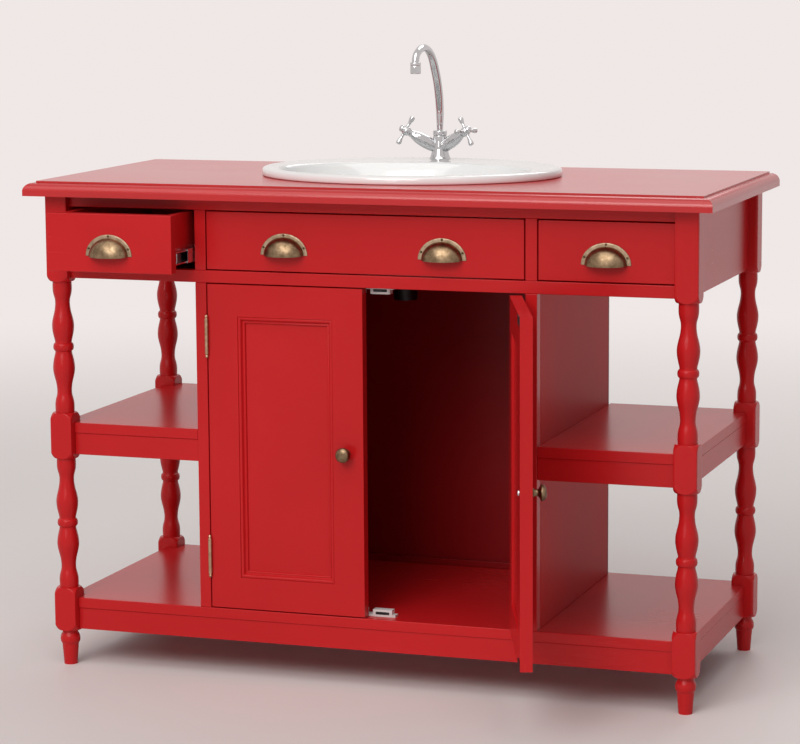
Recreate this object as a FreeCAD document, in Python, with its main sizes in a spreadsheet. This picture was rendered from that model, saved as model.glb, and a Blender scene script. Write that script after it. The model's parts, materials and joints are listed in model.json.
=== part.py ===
import FreeCAD, Part
import Sketcher
import math
import os

V = FreeCAD.Vector
os.makedirs("parts", exist_ok=True)
doc = FreeCAD.newDocument("VanityUnit")

# Driving dimensions in mm, angles in degrees. X runs along the front, the front faces -Y, the floor is Z 0.
dimensions = {
    "origin_to_back": 378.5,          # origin to the counter's back edge
    "counter_width": 1200,
    "counter_depth": 525,
    "counter_thickness": 25,
    "counter_back_overhang": 8,
    "counter_end_overhang": 28,
    "edge_step": 3,
    "edge_ledge": 3,
    "edge_round_width": 15,
    "edge_round_height": 13,
    "edge_round_rise": 4,
    "post_height": 825,
    "post_depth": 489,
    "post_side": 40,
    "foot_height": 62,
    "low_block_height": 76,
    "turned_length": 229,
    "mid_block_height": 80,
    "collar_radius": 17,
    "collar_length": 21,
    "neck_radius": 12.75,
    "neck_from_block": 39,
    "vase_radius": 18.5,
    "vase_from_block": 78,
    "groove_radius": 14.5,
    "ring_radius": 18.5,
    "ring_height": 13,
    "foot_radius": 11.5,
    "foot_bulge_radius": 17.5,
    "foot_bulge_height": 44,
    "foot_neck_radius": 14,
    "frame_recess": 14,               # front frame behind the posts' front faces
    "frame_thickness": 20,
    "top_rail_height": 20,
    "drawer_opening_height": 102,
    "drawer_rail_height": 21,
    "dust_rail_depth": 40,
    "dust_panel_thickness": 6,
    "dust_panel_lift": 4,
    "door_opening_width": 562,
    "stile_width": 20,
    "side_recess": 16,                # side boards behind the posts' outer faces
    "back_recess": 4,
    "apron_thickness": 18,
    "board_thickness": 18,
    "bottom_board_top": 120,
    "shelf_top": 430,
    "shelf_rail_height": 38,
    "shelf_rail_setback": 2,
    "shelf_rail_thickness": 18,
    "cabinet_side_thickness": 16,
    "cabinet_back_thickness": 8,
    "back_cleat": 12,
    "front_cleat": 20,
    "counter_block": 20,
    "door_gap": 2,
    "door_thickness": 20,
    "door_stile_width": 54,
    "panel_thickness": 6,
    "panel_recess": 9,
    "panel_tongue": 6,
    "moulding_width": 12,
    "moulding_bead": 4,
    "moulding_drop": 1,
    "right_door_angle": 110,
    "knob_inset": 31,
    "knob_radius": 13,
    "knob_projection": 27,
    "knob_stem_radius": 5.5,
    "knob_stem_length": 14,
    "knob_foot_radius": 8,
    "knob_crown_radius": 8,
    "knob_crown": 6,
    "knob_foot_height": 4,
    "hinge_inset": 89,
    "hinge_leaf": 0.9,
    "hinge_leaf_depth": 16,
    "hinge_barrel_radius": 3.2,
    "hinge_barrel_length": 60,
    "hinge_pin_radius": 1.5,
    "hinge_knuckle_end": 4,
    "hinge_play": 0.3,
    "pin_clearance": 0.05,
    "catch_offset": 23,
    "catch_width": 34,
    "catch_ears": 46,
    "catch_depth": 14,
    "catch_height": 12,
    "catch_ear_height": 4,
    "catch_slot": 3,
    "catch_slot_width": 24,
    "strike_width": 30,
    "strike_height": 14,
    "strike_thickness": 1.5,
    "strike_gap": 0.4,
    "drawer_gap": 2,
    "drawer_front_thickness": 20,
    "left_drawer_out": 94,
    "drawer_box_lift": 10,
    "drawer_box_height": 86,
    "drawer_box_depth": 380,
    "drawer_wall": 12,
    "drawer_bottom_thickness": 5,
    "drawer_bottom_lift": 8,
    "drawer_groove": 5,
    "slide_width": 12.7,
    "slide_height": 27,
    "slide_length": 350,
    "slide_sheet": 1.2,
    "slide_play": 0.6,
    "slide_setback": 3,
    "slide_centre": 24,               # slide centre above the drawer front's lower edge
    "bearer_height": 60,
    "pull_radius": 42,
    "pull_flange": 6,
    "pull_flange_thickness": 1.8,
    "pull_projection": 22,
    "pull_wall": 2,
    "pull_brow_radius": 30,
    "pull_brow": 14,
    "pull_crown_radius": 14,
    "pull_spacing": 278,
    "basin_width": 530,
    "basin_depth": 430,
    "basin_end_radius": 165,
    "basin_rim_height": 15,
    "basin_rim_round": 5,
    "basin_back_gap": 12,
    "basin_wall": 9,
    "cutout_inset": 14,
    "bowl_side_rim": 40,
    "bowl_back_rim": 100,
    "bowl_end_step": 70,              # bowl's end radius below the rim's
    "bowl_depth": 148,
    "bowl_floor_inset": 85,
    "bowl_front_rim": 30,
    "waste_seat_radius": 33,
    "waste_boss_radius": 38,
    "waste_boss_height": 14,
    "waste_seat_drop": 3,
    "waste_flange_radius": 32,
    "waste_flange_thickness": 3,
    "waste_tube_radius": 20.95,
    "waste_hole_clearance": 1.5,
    "waste_bore_radius": 16,
    "waste_length": 77,
    "waste_bar": 6,
    "waste_bar_width": 18,
    "waste_bar_drop": 34,
    "backnut_radius": 30,
    "backnut_height": 10,
    "plug_radius": 27,
    "plug_thickness": 3,
    "plug_lift": 8.3,
    "plug_stem_radius": 4,
    "tap_from_back": 55,              # tap axis to the basin's back edge
    "tap_hole_radius": 17.5,
    "tap_base_radius": 20,
    "tap_base_height": 4,
    "tap_cone_height": 12,
    "tap_shank_radius": 16,
    "tap_shank_length": 40,
    "column_radius": 12.5,
    "column_height": 52,
    "spout_socket_depth": 20,
    "spout_radius": 6.5,
    "spout_rise": 75,                 # deck to the start of the first bend
    "spout_bend_low": 150,
    "spout_lean_angle": 34,
    "spout_slope": 14,
    "spout_bend_high": 70,
    "spout_turn_angle": 120,
    "spout_bend_end": 16,
    "aerator_radius": 9.5,
    "aerator_height": 20,
    "arm_root_height": 17,
    "arm_yaw": 24,
    "arm_rise": 30,
    "arm_root_radius": 9,
    "arm_barrel_radius": 11.5,
    "arm_barrel_start": 22,
    "arm_barrel_end": 48,
    "arm_nose_radius": 6.5,
    "arm_length": 62,
    "spindle_radius": 3,
    "spindle_length": 8,
    "hub_radius": 8.5,
    "hub_length": 16,
    "hub_foot": 4,
    "hub_cap_radius": 4,
    "hub_cap": 5,
    "spoke_reach": 28,
    "spoke_root_radius": 2.6,
    "spoke_end_radius": 4.8,
    "spoke_tip": 3.4,
    "spoke_thickness": 6,
    "spoke_height": 6,
    "tail_radius": 5,
    "tail_spacing": 16,
    "tail_length": 190,
    "tap_nut_radius": 25,
    "tap_nut_height": 9,
}

sheet = doc.addObject("Spreadsheet::Sheet", "Dims")
for row, (alias, value) in enumerate(dimensions.items(), start=1):
    sheet.set(f"A{row}", alias)
    sheet.set(f"B{row}", str(value))
    sheet.setAlias(f"B{row}", alias)
doc.recompute()

# Planes that several pieces share, written as expressions of the sheet
counter_back = "Dims.origin_to_back"
counter_front = "(Dims.origin_to_back - Dims.counter_depth)"
post_back = "(Dims.origin_to_back - Dims.counter_back_overhang)"
post_front = f"({post_back} - Dims.post_depth)"
post_front_inner = f"({post_front} + Dims.post_side)"
post_back_inner = f"({post_back} - Dims.post_side)"
post_outer = "(Dims.counter_width / 2 - Dims.counter_end_overhang)"
post_inner = f"({post_outer} - Dims.post_side)"
frame_front = f"({post_front} + Dims.frame_recess)"
frame_back = f"({frame_front} + Dims.frame_thickness)"
side_outer = f"({post_outer} - Dims.side_recess)"
side_inner = f"({side_outer} - Dims.apron_thickness)"
rear_outer = f"({post_back} - Dims.back_recess)"
rear_inner = f"({rear_outer} - Dims.apron_thickness)"
counter_bottom = "Dims.post_height"
counter_top = "(Dims.post_height + Dims.counter_thickness)"
opening_top = "(Dims.post_height - Dims.top_rail_height)"
opening_bottom = f"({opening_top} - Dims.drawer_opening_height)"
rail_bottom = f"({opening_bottom} - Dims.drawer_rail_height)"
stile_inner = "(Dims.door_opening_width / 2)"
stile_outer = f"({stile_inner} + Dims.stile_width)"
cabinet_inner = f"({stile_outer} - Dims.cabinet_side_thickness)"
board_top = "Dims.bottom_board_top"
board_bottom = "(Dims.bottom_board_top - Dims.board_thickness)"
shelf_bottom = "(Dims.shelf_top - Dims.board_thickness)"

sides = ("left", "right")
nodes = []


def number(expression):
    """The value that an expression of the sheet has now."""
    return float(sheet.evalExpression(str(expression)))


def node(part, label):
    """Names a finished piece and lists it for writing."""
    part.Label = label
    nodes.append(part)
    return part


def place(part, x="0", y="0", z="0"):
    """Binds where a part's own origin lies."""
    for axis, expression in zip("xyz", (x, y, z)):
        part.setExpression(f"Placement.Base.{axis}", expression)
    return part


def between(side, near, far):
    """A range of x on the right of the middle, or its mirror image on the left."""
    return (near, far) if side == "right" else (f"-({far})", f"-({near})")


def at_side(side, x):
    return x if side == "right" else f"-({x})"


def spread(span, distance):
    """A range widened by a distance at both ends."""
    return f"({span[0]} - {distance})", f"({span[1]} + {distance})"


def around(middle, size):
    """A range of a given size about its middle."""
    return f"({middle} - ({size}) / 2)", f"({middle} + ({size}) / 2)"


def block(x, y, z):
    """A box given by its two faces along each axis."""
    solid = doc.addObject("Part::Box", "Block")
    place(solid, x[0], y[0], z[0])
    for size, (low, high) in zip(("Length", "Width", "Height"), (x, y, z)):
        solid.setExpression(size, f"({high}) - ({low})")
    return solid


def rod(radius, x, y, z):
    """An upright cylinder from z[0] to z[1]."""
    solid = doc.addObject("Part::Cylinder", "Rod")
    place(solid, x, y, z[0])
    solid.setExpression("Radius", radius)
    solid.setExpression("Height", f"({z[1]}) - ({z[0]})")
    return solid


def cut(base, *tools):
    """The base with each tool taken out of it."""
    for tool in tools:
        result = doc.addObject("Part::Cut", "Cut")
        result.Base = base
        result.Tool = tool
        base = result
    return base


def fuse(*parts):
    result = doc.addObject("Part::MultiFuse", "Fuse")
    result.Shapes = list(parts)
    return result


def group(*parts):
    result = doc.addObject("Part::Compound", "Group")
    result.Links = list(parts)
    return result


def copy_at(part, x="0", y="0", z="0", turn=None):
    """The same piece again at another place, turned by a yaw, pitch and roll where given."""
    result = group(part)
    if not turn:
        return place(result, x, y, z)
    result.setExpression("Placement", f"placement(vector({x}; {y}; {z}); rotation({'; '.join(turn)}))")
    return result


def sketch_on(body, plane, offset=None):
    """A sketch on one of the body's origin planes, moved along the plane's normal."""
    sketch = body.newObject("Sketcher::SketchObject", "Sketch")
    support = next(face for face in body.Origin.OriginFeatures if face.Role == plane)
    sketch.AttachmentSupport = (support, [""])
    sketch.MapMode = "FlatFace"
    if offset:
        sketch.setExpression("AttachmentOffset.Base.z", offset)
    return sketch


def pin_corner(sketch, edge, end, corner):
    """Binds the place of one end of an edge to two expressions."""
    for kind, expression in zip(("DistanceX", "DistanceY"), corner):
        index = sketch.addConstraint(Sketcher.Constraint(kind, -1, 1, edge, end, number(expression)))
        sketch.setExpression(f"Constraints[{index}]", str(expression))


def bulged_edge(sketch, start, finish, rise):
    """An arc between two corners that stands off its chord by rise, to the left of travel if positive."""
    x0, y0, x1, y1 = (number(value) for value in (*start[:2], *finish[:2]))
    height, chord = number(rise), math.hypot(x1 - x0, y1 - y0)
    radius = (chord ** 2 / 4 + height ** 2) / (2 * abs(height))
    reach = height - math.copysign(radius, height)
    centre = V((x0 + x1) / 2 - (y1 - y0) / chord * reach, (y0 + y1) / 2 + (x1 - x0) / chord * reach, 0)
    angles = [math.atan2(y - centre.y, x - centre.x) for x, y in ((x0, y0), (x1, y1))]
    if height > 0:
        angles.reverse()
    edge = sketch.addGeometry(Part.ArcOfCircle(Part.Circle(centre, V(0, 0, 1), radius), *angles))
    across, along = (f"(({finish[k]}) - ({start[k]}))" for k in (0, 1))
    index = sketch.addConstraint(Sketcher.Constraint("Radius", edge, radius))
    sketch.setExpression(f"Constraints[{index}]",
                         f"(({across}^2 + {along}^2) / 4 + ({rise})^2) / (2 * abs({rise}))")
    return (edge, 2, 1) if height > 0 else (edge, 1, 2)


def outline(sketch, corners, closed=True):
    """Edges through corners (x, y), or (x, y, rise) where the edge that leaves the corner may be an arc."""
    edges = []
    followers = corners[1:] + corners[:1] if closed else corners[1:]
    for corner, follower in zip(corners, followers):
        if len(corner) == 3 and corner[2]:
            edges.append(bulged_edge(sketch, corner, follower, corner[2]))
        else:
            ends = [V(number(point[0]), number(point[1]), 0) for point in (corner, follower)]
            edges.append((sketch.addGeometry(Part.LineSegment(*ends)), 1, 2))
    for (edge, _, finish), (other, start, _) in zip(edges, edges[1:] + edges[:1] if closed else edges[1:]):
        sketch.addConstraint(Sketcher.Constraint("Coincident", edge, finish, other, start))
    for (edge, start, _), corner in zip(edges, corners):
        pin_corner(sketch, edge, start, corner[:2])
    if not closed:
        pin_corner(sketch, edges[-1][0], edges[-1][2], corners[-1][:2])
    return sketch


def circle(sketch, x, y, radius):
    edge = sketch.addGeometry(Part.Circle(V(number(x), number(y), 0), V(0, 0, 1), number(radius)))
    pin_corner(sketch, edge, 3, (x, y))
    index = sketch.addConstraint(Sketcher.Constraint("Radius", edge, number(radius)))
    sketch.setExpression(f"Constraints[{index}]", radius)
    return sketch


def oval(sketch, y, half_width, half_depth, end_radius):
    """A four-arc oval about x 0, its end arcs and its long arcs tangent where they meet."""
    reach = f"({half_width} - {end_radius})"
    long_radius = f"(({reach}^2 + {half_depth}^2 - {end_radius}^2) / (2 * ({half_depth} - {end_radius})))"
    share = f"({end_radius} / ({long_radius} - {end_radius}))"
    x = f"({reach} * (1 + {share}))"
    rise_y = f"(({long_radius} - {half_depth}) * {share})"
    end_rise = f"-({half_width} - {x})"
    long_rise = f"-({half_depth} - {rise_y})"
    low, high = f"({y} - {rise_y})", f"({y} + {rise_y})"
    return outline(sketch, [(x, low, end_rise), (x, high, long_rise), (f"-{x}", high, end_rise),
                            (f"-{x}", low, long_rise)])


def pad(body, sketch, length, both_ways=False):
    feature = body.newObject("PartDesign::Pad", "Pad")
    feature.Profile = sketch
    feature.Midplane = both_ways
    feature.setExpression("Length", length)
    return feature


def pocket(body, sketch, length, both_ways=False):
    """A cut from the sketch against its normal, or half to each side."""
    feature = body.newObject("PartDesign::Pocket", "Pocket")
    feature.Profile = sketch
    feature.Midplane = both_ways
    feature.setExpression("Length", length)
    return feature


def new_body():
    return doc.addObject("PartDesign::Body", "Body")


def board(corners, low, thickness):
    """A flat board with the given outline, its lower face at height low."""
    body = new_body()
    pad(body, outline(sketch_on(body, "XY_Plane", low), corners), thickness)
    return body


def turned(corners, angle=360):
    """A body turned on a lathe: the outline goes round the upright axis, or part of the way round."""
    body = new_body()
    sketch = outline(sketch_on(body, "XZ_Plane"), corners)
    feature = body.newObject("PartDesign::Revolution", "Revolution")
    feature.Profile = sketch
    feature.ReferenceAxis = (sketch, ["V_Axis"])
    feature.Angle = angle
    return body


# Countertop: ovolo edge on the front and both ends, straight back, oval opening for the basin
basin_y = f"({counter_back} - Dims.basin_back_gap - Dims.basin_depth / 2)"


def basin_oval(inset):
    """Middle, half sizes and end radius of the basin's outline, drawn in by a distance."""
    return (basin_y, f"(Dims.basin_width / 2 - {inset})", f"(Dims.basin_depth / 2 - {inset})",
            f"(Dims.basin_end_radius - {inset})")


def moulded_edge(edge, inwards):
    """Corners of the ovolo edge from the counter's top to its underside, inwards being + or -."""
    step = f"({counter_top} - Dims.edge_step)"
    ledge = f"({edge} {inwards} Dims.edge_round_width {inwards} Dims.edge_ledge)"
    return [(ledge, counter_top), (ledge, step), (f"({edge} {inwards} Dims.edge_round_width)", step),
            (edge, f"({step} - Dims.edge_round_height)"), (edge, counter_bottom)]


def countertop():
    body = new_body()
    half = "(Dims.counter_width / 2)"
    rise = ("-Dims.edge_round_rise",)
    left, right = moulded_edge(f"-{half}", "+"), moulded_edge(half, "-")[::-1]
    left[2] += rise
    right[1] += rise
    ends = outline(sketch_on(body, "XZ_Plane", f"-({counter_front})"), left + right)
    pad(body, ends, "Dims.counter_depth").Reversed = True
    front = moulded_edge(counter_front, "+")[:4]
    front[2] += rise
    clear = f"({counter_front} - Dims.edge_round_width)"
    waste = outline(sketch_on(body, "YZ_Plane"), front + [(clear, front[3][1]), (clear, counter_top)])
    pocket(body, waste, "2 * Dims.counter_width", both_ways=True)
    opening = oval(sketch_on(body, "XY_Plane", counter_top), *basin_oval("Dims.cutout_inset"))
    pocket(body, opening, "2 * Dims.counter_thickness")
    return body


node(countertop(), "countertop")


# Posts: a square billet turned between its blocks
def turned_stretch(low):
    """Lathe outline from one block up to the next: collar, neck and vase, the ring, and the same upside down."""
    half = [("Dims.collar_radius", "0"), ("Dims.collar_radius", "Dims.collar_length"),
            ("Dims.neck_radius", "Dims.neck_from_block"), ("Dims.vase_radius", "Dims.vase_from_block"),
            ("Dims.groove_radius", "(Dims.turned_length - Dims.ring_height) / 2")]
    ring = ("Dims.ring_radius", f"({low} + Dims.turned_length / 2)")
    return ([(radius, f"({low} + {distance})") for radius, distance in half] + [ring]
            + [(radius, f"({low} + Dims.turned_length - {distance})") for radius, distance in half[::-1]])


def turned_post():
    """The billet trimmed by the lathe outline, which is wider than the billet where the blocks stay square."""
    wide = "Dims.post_side"
    low_block = "Dims.foot_height"
    low_turning = f"({low_block} + Dims.low_block_height)"
    mid_block = f"({low_turning} + Dims.turned_length)"
    high_turning = f"({mid_block} + Dims.mid_block_height)"
    top_block = f"({high_turning} + Dims.turned_length)"
    corners = [("0", "0"), ("Dims.foot_radius", "0"), ("Dims.foot_bulge_radius", "Dims.foot_bulge_height"),
               ("Dims.foot_neck_radius", low_block)]
    corners += [(wide, low_block), (wide, low_turning), *turned_stretch(low_turning)]
    corners += [(wide, mid_block), (wide, high_turning), *turned_stretch(high_turning)]
    corners += [(wide, top_block), (wide, "Dims.post_height"), ("0", "Dims.post_height")]
    half = "Dims.post_side / 2"
    result = doc.addObject("Part::Common", "Post")
    result.Base = block((f"-{half}", half), (f"-{half}", half), ("0", "Dims.post_height"))
    result.Tool = turned(corners)
    return result


post = turned_post()
post_x = f"({post_outer} - Dims.post_side / 2)"
for row, post_y in (("front", f"({post_front} + Dims.post_side / 2)"),
                    ("back", f"({post_back} - Dims.post_side / 2)")):
    for side in sides:
        node(copy_at(post, at_side(side, post_x), post_y), f"{row}_{side}_post")

# Front frame
full_width = (f"-{post_inner}", post_inner)
frame_depth = (frame_front, frame_back)
node(block(full_width, frame_depth, (opening_top, counter_bottom)), "front_top_rail")
dust_rail = block((f"-{cabinet_inner}", cabinet_inner), (frame_back, f"({frame_back} + Dims.dust_rail_depth)"),
                  (rail_bottom, opening_bottom))
dust_z = f"({rail_bottom} + Dims.dust_panel_lift)"
dust_panels = [block(between(side, stile_outer, post_inner), (frame_back, rear_inner),
                     (dust_z, f"({dust_z} + Dims.dust_panel_thickness)")) for side in sides]
drawer_rail = block(full_width, frame_depth, (rail_bottom, opening_bottom))
node(group(drawer_rail, dust_rail, *dust_panels), "front_drawer_rail")
stile_heights = ((board_top, rail_bottom), (opening_bottom, opening_top))
node(group(*(block(between(side, stile_inner, stile_outer), frame_depth, heights)
             for side in sides for heights in stile_heights)), "frame_stiles")

# Aprons under the counter and the blocks that hold the counter down
post_gap = (post_front_inner, post_back_inner)
apron_heights = (rail_bottom, counter_bottom)
node(group(*(block(between(side, side_inner, side_outer), post_gap, apron_heights) for side in sides)),
     "side_aprons")
node(block(full_width, (rear_inner, rear_outer), apron_heights), "back_apron")
bay_centre = f"(({stile_outer} + {post_inner}) / 2)"
block_x = (f"({bay_centre} - Dims.counter_block / 2)", f"({bay_centre} + Dims.counter_block / 2)")
block_z = ("(Dims.post_height - Dims.counter_block)", counter_bottom)
block_ys = ((frame_back, f"({frame_back} + Dims.counter_block)"),
            (f"({rear_inner} - Dims.counter_block)", rear_inner))
node(group(*(block(between(side, *block_x), y, block_z) for side in sides for y in block_ys)), "counter_blocks")

# Cabinet in the middle
cabinet_depth = (frame_back, rear_inner)
node(group(*(block(between(side, cabinet_inner, stile_outer), cabinet_depth, (board_top, counter_bottom))
             for side in sides)), "cabinet_sides")
panel_y = (rear_inner, f"({rear_inner} + Dims.cabinet_back_thickness)")
back_panel = block((f"-{stile_outer}", stile_outer), panel_y,
                   (board_top, rail_bottom))
back_cleat = block((f"-{cabinet_inner}", cabinet_inner), (f"({rear_inner} - Dims.back_cleat)", rear_inner),
                   (board_top, f"({board_top} + Dims.back_cleat)"))
node(group(back_panel, back_cleat), "cabinet_back")


# Boards, notched round the posts, and the rails under them
def notched_end(side):
    """Outline round the two posts at one end, from the front to the back."""
    return [(at_side(side, x), y) for x, y in (
        (post_inner, frame_front), (post_inner, post_front_inner), (side_outer, post_front_inner),
        (side_outer, post_back_inner), (post_inner, post_back_inner), (post_inner, rear_outer))]


def rails(x, top):
    """Front and back rail of one stretch."""
    z = (f"({top} - Dims.shelf_rail_height)", top)
    front = f"({frame_front} + Dims.shelf_rail_setback)"
    yield block(x, (front, f"({front} + Dims.shelf_rail_thickness)"), z)
    yield block(x, (f"({rear_outer} - Dims.shelf_rail_thickness)", rear_outer), z)


def side_rail(side, top):
    x = between(side, f"({side_outer} - Dims.shelf_rail_thickness)", side_outer)
    return block(x, post_gap, (f"({top} - Dims.shelf_rail_height)", top))


board_outline = notched_end("right") + notched_end("left")[::-1]
node(board(board_outline, board_bottom, "Dims.board_thickness"), "bottom_board")
side_rails = [side_rail(side, board_bottom) for side in sides]
node(group(*rails(full_width, board_bottom), *side_rails), "bottom_rails")
shelves, shelf_rails = [], []
for side in sides:
    inner_edge = [(at_side(side, stile_outer), y) for y in (rear_outer, frame_front)]
    shelves.append(board(notched_end(side) + inner_edge, shelf_bottom, "Dims.board_thickness"))
    shelf_rails += [*rails(between(side, stile_outer, post_inner), shelf_bottom), side_rail(side, shelf_bottom)]
node(group(*shelves), "side_shelves")
node(group(*shelf_rails), "shelf_rails")


# Cup pull: half a flange disc and a hollow half dome, open below, its back on Y 0
def dome_outline(shrink):
    """Radius and height of the dome from its rim to its crown, drawn in by a distance."""
    rim = f"(Dims.pull_radius - Dims.pull_flange - {shrink})"
    return [("0", "0"), (rim, "0"), (f"(Dims.pull_brow_radius - {shrink})", f"(Dims.pull_brow - {shrink} / 2)"),
            (f"(Dims.pull_crown_radius - {shrink})", f"(Dims.pull_projection - {shrink})"),
            ("0", f"(Dims.pull_projection - {shrink})")]


def cup_pull():
    flange = [("0", "0"), ("Dims.pull_radius", "0"), ("Dims.pull_radius", "Dims.pull_flange_thickness"),
              ("0", "Dims.pull_flange_thickness")]
    plate, dome, hollow = (turned(corners, 180) for corners in
                           (flange, dome_outline("0"), dome_outline("Dims.pull_wall")))
    return cut(fuse(plate, dome), hollow)


pull = cup_pull()
pull_turn = ("0", "0", "90")
front_z = (f"({opening_bottom} + Dims.drawer_gap)", f"({opening_top} - Dims.drawer_gap)")
pull_z = f"(({front_z[0]} + {front_z[1]} - Dims.pull_radius) / 2)"

# Fixed front in the middle, where the basin takes the place of a drawer
centre_x = f"({stile_inner} - Dims.drawer_gap)"
node(block((f"-{centre_x}", centre_x), frame_depth, front_z), "centre_front")
cleat_depth = (frame_back, f"({frame_back} + Dims.front_cleat)")
cleat_x = (f"({cabinet_inner} - Dims.front_cleat)", cabinet_inner)
node(group(*(block(between(side, *cleat_x), cleat_depth, front_z) for side in sides)), "centre_front_cleats")
pull_x = "(Dims.pull_spacing / 2)"
node(group(*(copy_at(pull, at_side(side, pull_x), frame_front, pull_z, pull_turn) for side in sides)),
     "centre_front_pulls")


# Telescopic slides: three channels, one inside the other, lengthwise along Y about their middle
def channel(half_height, web, tip):
    """A channel with its web between two x values and its lips reaching to x tip."""
    inner = f"({half_height} - Dims.slide_sheet)"
    corners = [(web[0], f"-({half_height})"), (tip, f"-({half_height})"), (tip, f"-{inner}"), (web[1], f"-{inner}"),
               (web[1], inner), (tip, inner), (tip, half_height), (web[0], half_height)]
    body = new_body()
    pad(body, outline(sketch_on(body, "XZ_Plane"), corners), "Dims.slide_length", both_ways=True)
    return body


step = "(Dims.slide_sheet + Dims.slide_play)"
lip_tip = f"(Dims.slide_width - {step})"
outer_channel = channel("(Dims.slide_height / 2)", ("0", "Dims.slide_sheet"), lip_tip)
middle_channel = channel(f"(Dims.slide_height / 2 - {step})", (step, f"({step} + Dims.slide_sheet)"), lip_tip)
inner_channel = channel(f"(Dims.slide_height / 2 - 2 * {step})",
                        ("Dims.slide_width", "(Dims.slide_width - Dims.slide_sheet)"), f"(2 * {step})")
slide_z = f"({front_z[0]} + Dims.slide_centre)"
slide_y = f"({frame_back} + Dims.slide_setback + Dims.slide_length / 2)"


def slide_pair(part, side, out):
    """One channel on each wall of a drawer bay, facing each other, moved out by a distance."""
    y = f"({slide_y} - ({out}))"
    turns = ("0", "180") if side == "right" else ("180", "0")
    ends = tuple(zip((stile_outer, post_inner), turns))
    return group(*(copy_at(part, at_side(side, x), y, slide_z, (yaw, "0", "0")) for x, yaw in ends))


bearer_z = (f"({slide_z} - Dims.bearer_height / 2)", f"({slide_z} + Dims.bearer_height / 2)")
bearers = [block(between(side, post_inner, side_inner), post_gap, bearer_z) for side in sides]
node(group(*bearers), "slide_bearers")
travel = {"left": "Dims.left_drawer_out", "right": "0"}
node(group(*(slide_pair(outer_channel, side, "0") for side in sides)), "slide_outer_members")
for side in sides:
    node(slide_pair(middle_channel, side, f"{travel[side]} / 2"), f"{side}_slide_middle")
    node(slide_pair(inner_channel, side, travel[side]), f"{side}_slide_inner")


# Drawers
def drawer(side, out):
    face = f"({frame_front} - ({out}))"
    behind = f"({face} + Dims.drawer_front_thickness)"
    front_x = between(side, f"({stile_outer} + Dims.drawer_gap)", f"({post_inner} - Dims.drawer_gap)")
    node(block(front_x, (face, behind), front_z), f"{side}_drawer_front")

    def box(inset, low, high):
        x = between(side, f"({stile_outer} + Dims.slide_width + {inset})",
                    f"({post_inner} - Dims.slide_width - {inset})")
        return block(x, (f"({behind} + {inset})", f"({behind} + Dims.drawer_box_depth - {inset})"), (low, high))

    low = f"({front_z[0]} + Dims.drawer_box_lift)"
    high = f"({low} + Dims.drawer_box_height)"
    floor = f"({low} + Dims.drawer_bottom_lift)"
    panel = box("(Dims.drawer_wall - Dims.drawer_groove)", floor, f"({floor} + Dims.drawer_bottom_thickness)")
    walls = cut(box("0", low, high), box("Dims.drawer_wall", low, high), panel)
    node(walls, f"{side}_drawer_box")
    node(panel, f"{side}_drawer_bottom")
    node(copy_at(pull, at_side(side, bay_centre), face, pull_z, pull_turn), f"{side}_drawer_pull")


for side in sides:
    drawer(side, travel[side])

# Doors: frame, panel in its groove, mitred moulding, knob, hinge leaves and strikes
door_z = (f"({board_top} + Dims.door_gap)", f"({rail_bottom} - Dims.door_gap)")
door_near = "(Dims.door_gap / 2)"
door_far = f"({stile_inner} - Dims.door_gap)"
door_back = f"({frame_front} + Dims.door_thickness)"
light_x = (f"({door_near} + Dims.door_stile_width)", f"({door_far} - Dims.door_stile_width)")
light_z = (f"({door_z[0]} + Dims.door_stile_width)", f"({door_z[1]} - Dims.door_stile_width)")
panel_face = f"({frame_front} + Dims.panel_recess)"
pin_x = f"({stile_inner} - Dims.door_gap / 2)"
pin_y = f"({frame_front} - Dims.hinge_barrel_radius - Dims.hinge_play)"
hinge_heights = (f"({door_z[0]} + Dims.hinge_inset)", f"({door_z[1]} - Dims.hinge_inset)")
knob_x = f"({door_near} + Dims.knob_inset)"
knob_z = f"(({door_z[0]} + {door_z[1]}) / 2)"


def knob():
    """A mushroom knob along Z."""
    return turned([
        ("0", "0"), ("Dims.knob_foot_radius", "0"), ("Dims.knob_stem_radius", "Dims.knob_foot_height"),
        ("Dims.knob_stem_radius", "Dims.knob_stem_length"),
        ("Dims.knob_radius", "(Dims.knob_projection - Dims.knob_crown)"),
        ("Dims.knob_crown_radius", "Dims.knob_projection"), ("0", "Dims.knob_projection")])


def moulding(side):
    """A bead that slopes down to the panel all round, mitred at the corners."""
    front = f"({frame_front} + Dims.moulding_drop)"
    slope = doc.addObject("Part::Wedge", "Slope")
    near = [spread(between(side, *light_x), "(-Dims.moulding_bead)"), spread(light_z, "(-Dims.moulding_bead)")]
    far = [spread(between(side, *light_x), "(-Dims.moulding_width)"), spread(light_z, "(-Dims.moulding_width)")]
    for names, span in ((("Xmin", "Xmax"), near[0]), (("Zmin", "Zmax"), near[1]), (("X2min", "X2max"), far[0]),
                        (("Z2min", "Z2max"), far[1]), (("Ymin", "Ymax"), (front, panel_face))):
        for name, expression in zip(names, span):
            slope.setExpression(name, expression)
    return cut(block(between(side, *light_x), (front, panel_face), light_z), slope)


def leaf_span(side, face, inwards):
    """Thickness of a hinge leaf on a face, inwards being + or - across the gap."""
    other = f"({face} {inwards} Dims.hinge_leaf)"
    return between(side, *((face, other) if inwards == "+" else (other, face)))


def leaf_plate(side, face, inwards, z):
    """A hinge leaf flat on a face."""
    depth = (frame_front, f"({frame_front} + Dims.hinge_leaf_depth)")
    return block(leaf_span(side, face, inwards), depth, z)


def knuckle(side, face, inwards, z):
    """A length of barrel round the pin and the tab that ties it to its leaf."""
    barrel = rod("Dims.hinge_barrel_radius", at_side(side, pin_x), pin_y, z)
    return barrel, block(leaf_span(side, face, inwards), (pin_y, frame_front), z)


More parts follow.
